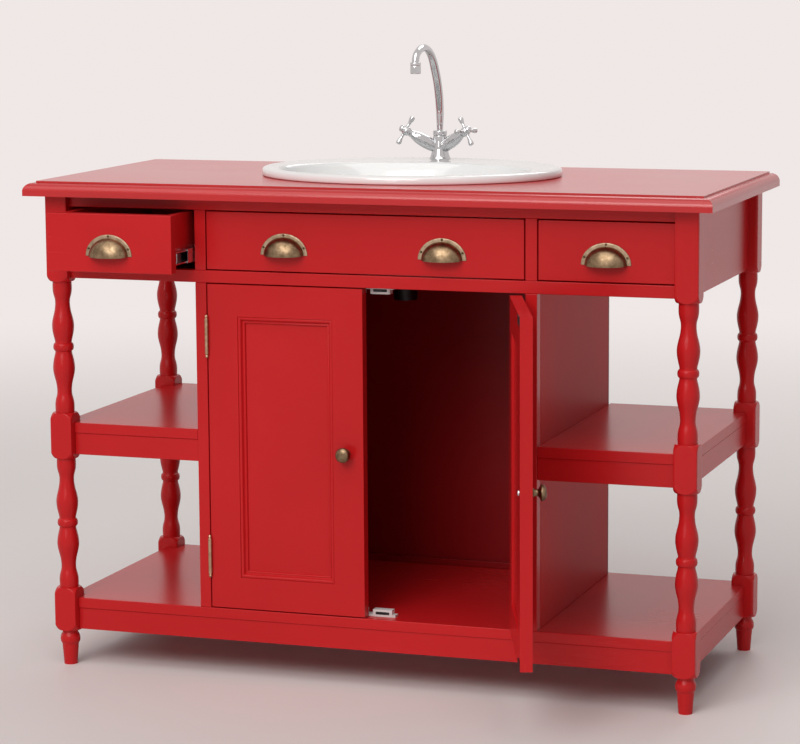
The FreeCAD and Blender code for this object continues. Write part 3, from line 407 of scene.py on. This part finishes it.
# dark magnet behind each catch's mouth, in mm
magnetShape = {"width": 25.0, "depth": 2.4, "height": 5.4, "across": 23.0, "proud": 0.15, "levels": (126.0, 676.0)}
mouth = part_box("magnetic_catches")[0].y - magnetShape["proud"] * mm
magnet = roundedPad(magnetShape["width"], magnetShape["depth"], magnetShape["height"])
magnets = [magnet * mm + (side * magnetShape["across"] * mm, mouth, level * mm)
           for side in (-1, 1) for level in magnetShape["levels"]]
makePiece("catch_magnets", magnets, darkSteelAndShade, "unit", sharp=35)

# steel lip and black stop near the front of each slide's inner member, in mm
stopShape = {"lip": (7.4, 1.4, 16.8), "lipBack": 6.5, "block": (7.0, 15.0, 15.6), "blockBack": 8.3, "across": 4.9}
for side in ("left", "right"):
    low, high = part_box(f"{side}_slide_inner")
    ends = [low.x + stopShape["across"] * mm, high.x - stopShape["across"] * mm]
    for part, finish in (("lip", zincSteel), ("block", blackPlastic)):
        pad = roundedPad(*stopShape[part]) + (0, stopShape[f"{part}Back"], 0)
        pads = [pad * mm + (x, low.y, (low.z + high.z) / 2) for x in ends]
        makePiece(f"{side}_slide_stop_{part}", pads, finish, f"{side}_drawer", sharp=35)
print("catches and slides fitted")

# posts, in mm from the floor and from each block's end
postShape = {
    "side": 40.0, "wide": 30.0, "corner": 18.0, "round": 96,
    "blocks": ((62.0, 138.0), (367.0, 447.0), (676.0, 825.0)),
    "foot": ((0, 0), (0, 0), (11.6, 0), (11.6, 0), (11.8, 2), (13, 18), (14.4, 35), (14.7, 37.2), (16.2, 38.8),
             (17.4, 43), (17.4, 48), (16.2, 52.6), (14.2, 55.6), (13.4, 58), (13.2, 61), (13.2, 62), (13.2, 62)),
    "shoulder": ((20.2, 0), (20.2, 0), (22.4, 1.8), (25.2, 6), (28.2, 12), (30, 16)),
    "halfTurning": ((16.3, 0), (16.3, 0), (16.7, 9), (16.5, 17), (15.2, 24), (13.3, 30), (12.6, 36), (12.8, 43),
                    (14.2, 53), (17.2, 64), (19.2, 75), (18.6, 86), (16.6, 96), (15.0, 102), (14.4, 105.5),
                    (14.4, 107.2), (14.4, 107.2), (15.8, 108.2), (17.4, 110.6), (17.8, 114.5)),
}


# lathe outline from the floor to the top, in mm
def postOutline(shape):
    half, shoulder = np.array(shape["halfTurning"]), np.array(shape["shoulder"])
    flip = np.array((1.0, -1.0))
    line = [np.array(shape["foot"], float)]
    for index, (low, high) in enumerate(shape["blocks"]):
        line.append(shoulder + (0, low))
        if index == len(shape["blocks"]) - 1:
            line.append(np.array([(shape["wide"], high)] * 2 + [(0, high)] * 2))
        else:
            line.append(shoulder[::-1] * flip + (0, high))
            line.append(half + (0, high))
            line.append(half[::-1] * flip + (0, shape["blocks"][index + 1][0]))
    return rounded(np.concatenate(line))


# radius at each height and angle is the smaller of the lathe's radius and the square billet's, so blocks stay square
def turnedPost(shape, x, y):
    outline = postOutline(shape)
    turn = np.linspace(0, 2 * np.pi, shape["round"], endpoint=False) + np.pi / 4
    power = shape["corner"]
    square = shape["side"] / 2 / (np.abs(np.cos(turn)) ** power + np.abs(np.sin(turn)) ** power) ** (1 / power)
    radius = np.minimum(outline[:, :1], square)
    points = np.stack([radius * np.cos(turn), radius * np.sin(turn), outline[:, 1:] + 0 * turn], -1)
    return points * mm + (x, y, 0)


for row in ("front", "back"):
    for side in ("left", "right"):
        node = f"{row}_{side}_post"
        middle = (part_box(node)[0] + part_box(node)[1]) / 2
        makePiece(f"{node}_turned", [turnedPost(postShape, middle.x, middle.y)], uprightPaint, "unit",
                  (node,), sharp=32)
print("posts turned")

# doors, in mm: distance in from the door's edge and depth behind its face
doorShape = {
    "profile": ((54, 15.2), (54, 15.2), (54, 20), (54, 20), (1.2, 20), (0, 20), (0, 18.8), (0, 1.6), (0, 0), (1.6, 0),
                (53.2, 0), (54, 0), (54, 0.8), (54.1, 1.6), (54.1, 1.6), (54.9, 0.6), (56.4, 0.4), (58.2, 0.6),
                (59.2, 1.6), (60, 3.6), (61.4, 5.6), (62.4, 5.9), (63.4, 5.2), (64.6, 5.3), (65.4, 6.6), (65.9, 8.4),
                (66, 9.1), (66, 9.1)),
    "openRight": 110.0,
}
pin = {side: np.array(joints[f"{side}_door_hinge"]["pos_m"]) * (1, 1, 0) for side in ("left", "right")}


# the right door is the left one's mirror image, swung open about its pin
def onDoor(points, side):
    if side == "left":
        return points
    return swung(points * (-1, 1, 1), pin["right"], doorShape["openRight"])


# door face: the profile is carried round the door's outline and mitred at its four corners
def doorFace(shape):
    low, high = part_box("left_door_frame")
    inset, depth = (rounded(shape["profile"], 1) * mm).T
    x = np.stack([low.x + inset, high.x - inset, high.x - inset, low.x + inset], 1)
    z = np.stack([low.z + inset, low.z + inset, high.z - inset, high.z - inset], 1)
    return np.stack([x, low.y + depth[:, None] + 0 * x, z], -1)


for side in ("left", "right"):
    makePiece(f"{side}_door_face", [onDoor(doorFace(doorShape), side)], uprightPaint, f"{side}_door",
              (f"{side}_door_frame", f"{side}_door_moulding"), sharp=25)

# knobs, in mm out from the door's face; the screw's head is behind the door
knobShape = {
    "profile": ((0, 0), (0, 0), (8, 0), (8, 0), (8, 1.2), (6.6, 2.6), (5.6, 5), (5.4, 8.6), (6.6, 11.4), (10.4, 13),
                (12.8, 14.6), (13, 16.8), (12.4, 19.4), (9.6, 22.2), (5, 23.8), (0, 24), (0, 24)),
    "screw": ((0, 0), (0, 0), (4.6, 0), (4.6, 0), (4.4, 1.2), (3, 2.3), (1.2, 2.5), (1, 1.4), (0, 1.4)),
}
knobMiddle = (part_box("left_door_knob")[0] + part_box("left_door_knob")[1]) / 2
doorLow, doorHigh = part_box("left_door_frame")
headPlace, screwPlace = ((knobMiddle.x, face, knobMiddle.z) for face in (doorLow.y, doorHigh.y))
head = alongAxis(lathe(rounded(knobShape["profile"]) * mm, around=48), headPlace, (0, -1, 0))
screw = alongAxis(lathe(rounded(knobShape["screw"]) * mm, around=32), screwPlace, (0, 1, 0))
for side in ("left", "right"):
    makePiece(f"{side}_knob", [onDoor(head, side)], brass, f"{side}_door", (f"{side}_door_knob",),
              sharp=50)
    makePiece(f"{side}_knob_screw", [onDoor(screw, side)], zincSteel, f"{side}_door", sharp=50)

# hinge finials, in mm from the barrel's end
finialShape = {"profile": ((3.2, 0), (3.2, 0), (3.2, 0.8), (2.2, 1.2), (2.0, 2), (2.7, 3), (2.9, 4.4), (2.2, 6.2),
                           (1, 7.2), (0, 7.4), (0, 7.4)), "barrel": 60.0, "inset": 89.0}
finial = lathe(rounded(finialShape["profile"]) * mm, around=24)
half = finialShape["barrel"] / 2 * mm
for side in ("left", "right"):
    tips, feet = [], []
    for z in (doorLow.z + finialShape["inset"] * mm, doorHigh.z - finialShape["inset"] * mm):
        tips.append(onDoor(finial + pin["left"] + (0, 0, z + half), side))
        feet.append(finial * (1, 1, -1) + pin[side] + (0, 0, z - half))
    makePiece(f"{side}_hinge_tips", tips, hingeBrass, f"{side}_door", sharp=50)
    makePiece(f"{side}_hinge_feet", feet, hingeBrass, "unit", sharp=50)
print("doors, knobs and hinges made")

# cup pulls, in mm: across, out from the front and up from the lower edge
pullShape = {
    "radius": 42.0, "flange": 6.5, "plate": 1.8, "edge": 1.2, "edgeFrom": 0.7, "projection": 22.0, "wall": 1.7,
    "fullness": 2.2, "flatten": 0.86, "hang": 2.2, "across": 72, "rise": 24,
    "nails": (90, 22, 158), "nail": ((0, 0), (0, 0), (2.1, 0), (2.1, 0.3), (1.5, 0.9), (0, 1.1), (0, 1.1)),
}


# dome: half a turn across, and from rim to crown a rounded quarter, |r|^n + |d|^n = 1 with n the fullness
def pullDome(shape, shrink):
    turn = np.linspace(0, np.pi, shape["across"])
    lift = np.linspace(0, np.pi / 2, shape["rise"])[:, None]
    rim = shape["radius"] - shape["flange"] - shrink
    radius = rim * np.cos(lift) ** (2 / shape["fullness"])
    depth = (shape["projection"] - shrink) * np.sin(lift) ** (2 / shape["fullness"])
    height = radius * np.sin(turn) * shape["flatten"] - shape["hang"] * depth / shape["projection"]
    return np.stack([radius * np.cos(turn), -depth + 0 * turn, height], -1)


# flange: half a ring of constant section, rounded on its outer edge
def pullFlange(shape):
    turn = np.linspace(0, np.pi, shape["across"])
    outer, inner, plate = shape["radius"], shape["radius"] - shape["flange"] - shape["wall"], shape["plate"]
    section = rounded([(inner, 0), (inner, 0), (outer, 0), (outer, 0), (outer, plate * shape["edgeFrom"]),
                       (outer - shape["edge"], plate), (inner, plate), (inner, plate)], 1)
    radius, depth = section[:, :1], section[:, 1:]
    return np.stack([radius * np.cos(turn), -depth + 0 * turn, radius * np.sin(turn) * shape["flatten"]], -1)


# lower lip: the strip that joins the outer and the inner dome along their open edge, at both ends of the half turn
def pullLip(shape):
    outer, inner = pullDome(shape, 0), pullDome(shape, shape["wall"])
    edge = [np.concatenate([dome[:, 0], dome[::-1, -1]]) for dome in (outer, inner)]
    return np.stack(edge)


# dome with its lip, flange with closed ends, and nails round the flange
def cupPull(name, x, face, z, body, replaced):
    place = np.array((x, face, z))
    ends = [pullFlange(pullShape)[:, [side]] for side in (0, -1)]
    caps = [(np.concatenate([end, end.mean(0, keepdims=True) + 0 * end], 1), True, False) for end in ends]
    dome = [(pullDome(pullShape, 0), False, False), (pullDome(pullShape, pullShape["wall"])[::-1], False, False),
            (pullLip(pullShape), False, False)]
    flange = [(pullFlange(pullShape), True, False)] + caps
    makePiece(name, [(points * mm + place, *closed) for points, *closed in dome], brass, body, replaced,
              sharp=45)
    makePiece(f"{name}_flange", [(points * mm + place, *closed) for points, *closed in flange], wornBrass, body,
              sharp=45)
    middle = pullShape["radius"] - pullShape["flange"] / 2
    nails = []
    for degrees in pullShape["nails"]:
        angle = math.radians(degrees)
        height = middle * math.sin(angle) * pullShape["flatten"]
        spot = place + np.array((middle * math.cos(angle), -pullShape["plate"], height)) * mm
        nails.append(alongAxis(lathe(rounded(pullShape["nail"]) * mm, around=16), spot, (0, -1, 0)))
    makePiece(f"{name}_nails", nails, nailBrass, body, sharp=50)


for side in ("left", "right"):
    low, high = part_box(f"{side}_drawer_pull")
    cupPull(f"{side}_cup_pull", (low.x + high.x) / 2, high.y, low.z, f"{side}_drawer", (f"{side}_drawer_pull",))
low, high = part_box("centre_front_pulls")
reach = pullShape["radius"] * mm
cupPull("centre_cup_pull_left", low.x + reach, high.y, low.z, "unit", ("centre_front_pulls",))
cupPull("centre_cup_pull_right", high.x - reach, high.y, low.z, "unit", ())
print("cup pulls made")

# basin, in mm: half width, half depth, middle in y from the rim's middle, height above the counter
basinShape = {
    "around": 160,
    "rings": ((251, 201, 0, 0.2), (258, 208, 0, 0.2), (263.6, 213.6, 0, 0.2), (264.9, 214.9, 0, 3),
              (264.9, 214.9, 0, 8), (263.4, 213.4, 0, 12.6), (258.5, 208.5, 0, 14.8), (252, 202, 0, 14.9),
              (246, 195, -2, 13.8), (238, 172, -22, 13.4), (231, 156, -34, 13.6), (227, 152, -35, 13.2),
              (223, 148, -35, 10), (219, 144, -35, 2), (212, 137, -35, -16), (196, 121, -35, -54),
              (170, 96, -35, -92), (122, 66, -35, -118), (66, 46, -35, -131), (34, 34, -35, -134),
              (33, 33, -35, -136), (33, 33, -35, -136), (22.5, 22.5, -35, -136), (22.5, 22.5, -35, -136),
              (22.5, 22.5, -35, -150), (22.5, 22.5, -35, -150), (38, 38, -35, -150), (38, 38, -35, -150),
              (38, 38, -35, -141), (76, 56, -35, -139), (132, 76, -35, -126), (180, 106, -35, -98),
              (206, 131, -35, -58), (222, 147, -35, -18), (232, 160, -33, -3), (244, 190, -8, 0.2)),
}


# lofted bowl: ovals at each ring, their sizes and heights smoothed along the section
def basinShell(shape, middle):
    rings = rounded(shape["rings"], 2, closed=True)
    turn = np.linspace(0, 2 * np.pi, shape["around"], endpoint=False)
    wide, deep, shift, height = (rings[:, [k]] for k in range(4))
    points = np.stack([wide * np.cos(turn), shift + deep * np.sin(turn), height + 0 * turn], -1)
    return points * mm + middle


low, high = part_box("basin")
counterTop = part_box("countertop")[1].z
basinMiddle = np.array((0, (low.y + high.y) / 2, counterTop))
makePiece("basin_glazed", [(basinShell(basinShape, basinMiddle), True, True)], glaze, "unit", ("basin",),
          sharp=60)

# waste, in mm from the seat's level
wasteShape = {
    "tube": ((16, -77), (16, -77), (20.9, -77), (20.9, -77), (20.9, -24), (20.9, -24), (30, -24), (30, -24),
             (30, -14), (30, -14), (20.9, -14), (20.9, -14), (20.9, -2), (20.9, -2), (16, -2), (16, -2)),
    "flange": ((16, -2), (16, -2), (20.9, -2), (20.9, -2), (20.9, 0), (20.9, 0), (31.4, 0), (32, 0.6), (31.6, 2),
               (28, 3), (22, 3), (18, 2.4), (16, 1), (16, -1)),
    "plug": ((0, -45), (0, -45), (4, -45), (4, -45), (4, 0), (4, 0), (26.4, 0), (27, 0.4), (27, 1.2), (24, 2.2),
             (14, 2.9), (0, 3), (0, 3)),
    "tail": 77.0, "cap": 3.0,
}
low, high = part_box("waste_body")
seat = np.array((0, (low.y + high.y) / 2, low.z + wasteShape["tail"] * mm))
# the waste tube: painted shade, dark steel so that it sinks into the shade inside the cabinet
for name, finish, replaced in (("tube", darkSteelAndShade, ("waste_body",)), ("flange", chrome, ())):
    ring = lathe(rounded(wasteShape[name], 2, closed=True) * mm) + seat
    makePiece(f"waste_{name}", [(ring, True, True)], finish, "unit", replaced, sharp=50)
plugSeat = (0, seat[1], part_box("waste_plug")[1].z - wasteShape["cap"] * mm)
makePiece("waste_plug_cap", [lathe(rounded(wasteShape["plug"]) * mm) + plugSeat], chrome, "waste_plug",
          ("waste_plug",), sharp=50)
print("basin and waste made")

# tap, in mm above the deck or along an arm
deck = np.array((*joints["spout_swivel"]["pos_m"][:2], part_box("basin")[1].z))
tapShape = {
    "column": ((0, 0), (0, 0), (18.6, 0), (19.2, 0.4), (19.2, 2.4), (18.2, 3.6), (17, 6), (15.4, 12), (13.8, 20),
               (12.7, 30), (12.2, 40), (12.2, 42.6), (11.2, 43.2), (11.2, 43.2), (12.3, 43.8), (12.5, 44.6),
               (12.5, 50.4), (12, 51.4), (9, 52), (6.2, 52), (6.2, 52), (6, 49), (6, 49), (0, 49)),
    "shank": ((0, -40), (16, -40), (16, -24), (25, -24), (25, -15), (16, -15), (16, 0.2), (0, 0.2)),
    "arm": ((0, 0), (0, 0), (8.6, 0), (9.4, 10), (11.2, 20), (11.7, 32), (10.8, 44), (8.4, 53), (6.6, 58), (6.2, 60),
            (6.6, 60.4), (6.6, 61.8), (6, 62.1), (0, 62.1), (0, 62.1)),
    "hub": ((0, 62.3), (0, 62.3), (5.8, 62.3), (6.6, 63), (8, 65.4), (8.6, 69), (8.2, 73.5), (6.4, 75.6), (5.6, 76.6),
            (5.8, 77.4), (6.6, 78), (6.4, 79.8), (4.6, 82), (2, 83.2), (0, 83.3), (0, 83.3)),
    "spoke": ((0, 0), (0, 0), (3.1, 0), (2.8, 9), (2.5, 12.5), (2.9, 15.6), (4.2, 20), (4.9, 24), (4.3, 27), (2, 28),
              (0, 28), (0, 28)),
    "spokeAt": 71.3, "armRoot": 17.0,
    "tail": {"radius": 5.0, "apart": 16.0, "from": -40.0, "to": -230.0},
    "aerator": ((0, 1.5), (0, 1.5), (7.6, 1.5), (7.8, 0), (9, 0), (9.4, 0.6), (9.4, 12.8), (9, 13.4), (8.8, 13.8),
                (9.4, 14.4), (9.5, 18.6), (8.6, 19.8), (6.4, 20), (6.4, 20)),
}
shank = np.repeat(tapShape["shank"], 2, axis=0)  # doubled points stay sharp
column = lathe(rounded(tapShape["column"]) * mm) + deck
under = lathe(rounded(shank, 1) * mm) + deck
tail = tapShape["tail"]
pipe = np.array([(0, tail["to"]), (tail["radius"], tail["to"]), (tail["radius"], tail["from"]), (0, tail["from"])])
pipes = [lathe(pipe * mm, around=32) + deck + (side * tail["apart"] / 2 * mm, 0, 0) for side in (-1, 1)]
armRoot = deck + (0, 0, tapShape["armRoot"] * mm)
arms = [alongAxis(lathe(rounded(tapShape["arm"]) * mm), armRoot, joints[f"{name}_valve"]["axis"])
        for name in ("hot", "cold")]
makePiece("tap_column", [column, under, *pipes, *arms], chrome, "unit", ("tap_body",), sharp=38)

# cross handles: a hub along the arm and four spokes round it
handle = [lathe(rounded(tapShape["hub"]) * mm, around=48)]
for quarter in range(4):
    angle = quarter * math.pi / 2
    spoke = lathe(rounded(tapShape["spoke"]) * mm, around=32)
    handle.append(alongAxis(spoke, (0, 0, tapShape["spokeAt"] * mm), (math.cos(angle), math.sin(angle), 0)))
for name in ("hot", "cold"):
    grids = [alongAxis(grid, armRoot, joints[f"{name}_valve"]["axis"]) for grid in handle]
    makePiece(f"{name}_cross_handle", grids, chrome, f"{name}_handle", (f"{name}_handle",), sharp=45)

# swan neck, lengths in mm along the tube: heading from upright at each place, and the tube's radius
neckShape = {"from": 32.3, "rise": 75.0, "bends": ((150.0, 34.0), (70.0, 86.0), (16.0, 60.0)), "slope": 14.0,
             "radii": ((0, 5.4), (22, 5.6), (45, 6.8), (80, 7.5), (140, 7.6), (198, 6.5), (280, 6.4)),
             "step": 1.0, "round": 40}


# the heading grows evenly round each bend and stays on each straight; adding up its sines and cosines gives the path
def swanNeck(shape):
    bends = [radius * math.radians(turn) for radius, turn in shape["bends"]]
    turns = [turn for _, turn in shape["bends"]]
    places = np.cumsum([0, shape["rise"] - shape["from"], bends[0], shape["slope"], bends[1], bends[2]])
    headings = np.radians([0, 0, turns[0], turns[0], turns[0] + turns[1], sum(turns)])
    along = np.linspace(0, places[-1], int(places[-1] / shape["step"]) + 1)
    middle = (along[1:] + along[:-1]) / 2
    step = np.diff(along)
    ahead = np.interp(middle, places, headings)
    forward = np.concatenate([[0], np.cumsum(step * np.sin(ahead))])
    up = shape["from"] + np.concatenate([[0], np.cumsum(step * np.cos(ahead))])
    heading = np.interp(along, places, headings)
    radius = np.interp(along, *np.array(shape["radii"]).T)[:, None]
    turn = np.linspace(0, 2 * np.pi, shape["round"], endpoint=False)
    across, out = radius * np.cos(turn), radius * np.sin(turn)
    y = -(forward[:, None] + out * np.cos(heading)[:, None])
    z = up[:, None] - out * np.sin(heading)[:, None]
    return np.stack([across, y, z], -1)


neck = swanNeck(neckShape)
ends = [np.stack([end.mean(0) + 0 * end, end]) for end in (neck[0], neck[-1])]
makePiece("swan_neck", [grid * mm + deck for grid in (neck, *ends)], chrome, "spout", ("tap_spout",),
          sharp=50)
low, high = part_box("tap_aerator")
outlet = np.array(((low.x + high.x) / 2, (low.y + high.y) / 2, low.z))
makePiece("aerator_cap", [lathe(rounded(tapShape["aerator"]) * mm, around=48) + outlet], chrome, "spout",
          ("tap_aerator",), sharp=40)
print("tap made")

# floor, light and camera, in metres
floorShape = {"size": 18.0, "deep": (0.73875, 0.69935, 0.686545), "bright": (0.75, 0.71, 0.697), "driftScale": 1.5,
              "rough": 0.55, "driftRough": 0.1, "fade": (1.6, 5.0)}
skyLook = {"light": (0.93, 0.92, 0.92), "strength": 0.2, "backdrop": (0.865, 0.805, 0.79)}


# plain floor near the unit; further out it shows in the backdrop's colour, so that there is no horizon
def floorFinish(look, backdrop):
    finish = Finish("pale_floor")
    drift = finish.noise(look["driftScale"])
    reach = finish.node("ShaderNodeVectorMath", {"operation": "LENGTH"}, {0: finish.place()}, output="Value")
    near, far = look["fade"]
    fade = finish.node("ShaderNodeMapRange", {"interpolation_type": "SMOOTHSTEP"},
                       {"Value": reach, "From Min": near, "From Max": far}, output="Result")
    ground = finish.node("ShaderNodeBsdfPrincipled", {}, {"Base Color": finish.tones(drift, look),
                                                          "Roughness": drift * look["driftRough"] + look["rough"]})
    glow = finish.node("ShaderNodeEmission", {}, {"Color": (*backdrop, 1)})
    both = finish.node("ShaderNodeMixShader", {}, {0: fade * finish.shown(), 1: ground, 2: glow})
    finish.node("ShaderNodeOutputMaterial", {}, {"Surface": both})
    return finish.material


half = floorShape["size"] / 2
mesh = bpy.data.meshes.new("floor")
mesh.from_pydata([(-half, -half, 0), (half, -half, 0), (half, half, 0), (-half, half, 0)], [], [(0, 1, 2, 3)])
mesh.materials.append(floorFinish(floorShape, skyLook["backdrop"]))
floor = addObject("floor", mesh)


# turns an object's own axes to the given directions and sets it at a place
def aim(item, across, up, back, place):
    pose = np.eye(4)
    pose[:3] = np.stack([across, up, back, place], 1)
    item.matrix_world = Matrix(pose.tolist())


# place, width and height in metres, power in watts; each lamp faces its target, and one with a spread is a sun
lamps = {
    "key": {"at": (-0.5, -4.4, 3.2), "size": (2.8, 2.2), "power": 94.0, "target": (0, 0, 0.5)},
    "front": {"at": (-0.6, -5.2, 1.5), "size": (0.8, 0.6), "power": 8.0, "target": (0, 0, 0.5)},
    "rear": {"at": (0.3, 3.0, 3.6), "size": (2.0, 2.0), "power": 34.0, "target": (0, 0.1, 0.7)},
    "sky": {"at": (-0.1, -1.7, 3.2), "spread": 60.0, "power": 1.3, "target": (0, 0, 0.4)},
}
lampColour = (1.0, 0.985, 0.97)
for name, lamp in lamps.items():
    light = bpy.data.lights.new(name, "AREA" if "size" in lamp else "SUN")
    if "size" in lamp:
        light.shape = "RECTANGLE"
        light.size, light.size_y = lamp["size"]
    else:
        light.angle = math.radians(lamp["spread"])
    light.energy = lamp["power"]
    light.color = lampColour
    source = addObject(name, light)
    back = np.array(lamp["at"]) - lamp["target"]
    back = back / np.linalg.norm(back)
    side = np.cross((0, 0, 1), back)
    side = side / np.linalg.norm(side)
    aim(source, side, np.cross(back, side), back, lamp["at"])
    source.visible_camera = False

# even surround: dim as a light, shown as a near white backdrop
world = bpy.data.worlds.new("surround")
bpy.context.scene.world = world
surround = Finish("surround", world)
dim = surround.node("ShaderNodeBackground", {}, {"Color": (*skyLook["light"], 1), "Strength": skyLook["strength"]})
pale = surround.node("ShaderNodeBackground", {}, {"Color": (*skyLook["backdrop"], 1)})
both = surround.node("ShaderNodeMixShader", {}, {0: surround.shown(), 1: dim, 2: pale})
surround.node("ShaderNodeOutputWorld", {}, {"Surface": both})

# camera: place in metres, angles in degrees, looking along +Y at yaw 0
viewShape = {"at": (1.5982, -4.566, 1.2527), "yaw": 18.969, "pitch": 8.543, "roll": 0.37, "lens": 129.434,
             "sensor": 36.0, "clipEnd": 60.0}  # lens and sensor in mm
yaw, pitch, roll = (math.radians(viewShape[key]) for key in ("yaw", "pitch", "roll"))
ahead = np.array((-math.sin(yaw) * math.cos(pitch), math.cos(yaw) * math.cos(pitch), -math.sin(pitch)))
right = np.array((math.cos(yaw), math.sin(yaw), 0))
down = np.cross(ahead, right)
tiltedRight = math.cos(roll) * right + math.sin(roll) * down
tiltedDown = -math.sin(roll) * right + math.cos(roll) * down
camera = addObject("camera", bpy.data.cameras.new("camera"))
aim(camera, tiltedRight, -tiltedDown, -ahead, viewShape["at"])
camera.data.lens = viewShape["lens"]
camera.data.sensor_width = viewShape["sensor"]
camera.data.clip_end = viewShape["clipEnd"]
bpy.context.scene.camera = camera
bpy.context.scene.view_settings.view_transform = "Standard"
print("stage, light and camera set")

bpy.context.view_layer.update()
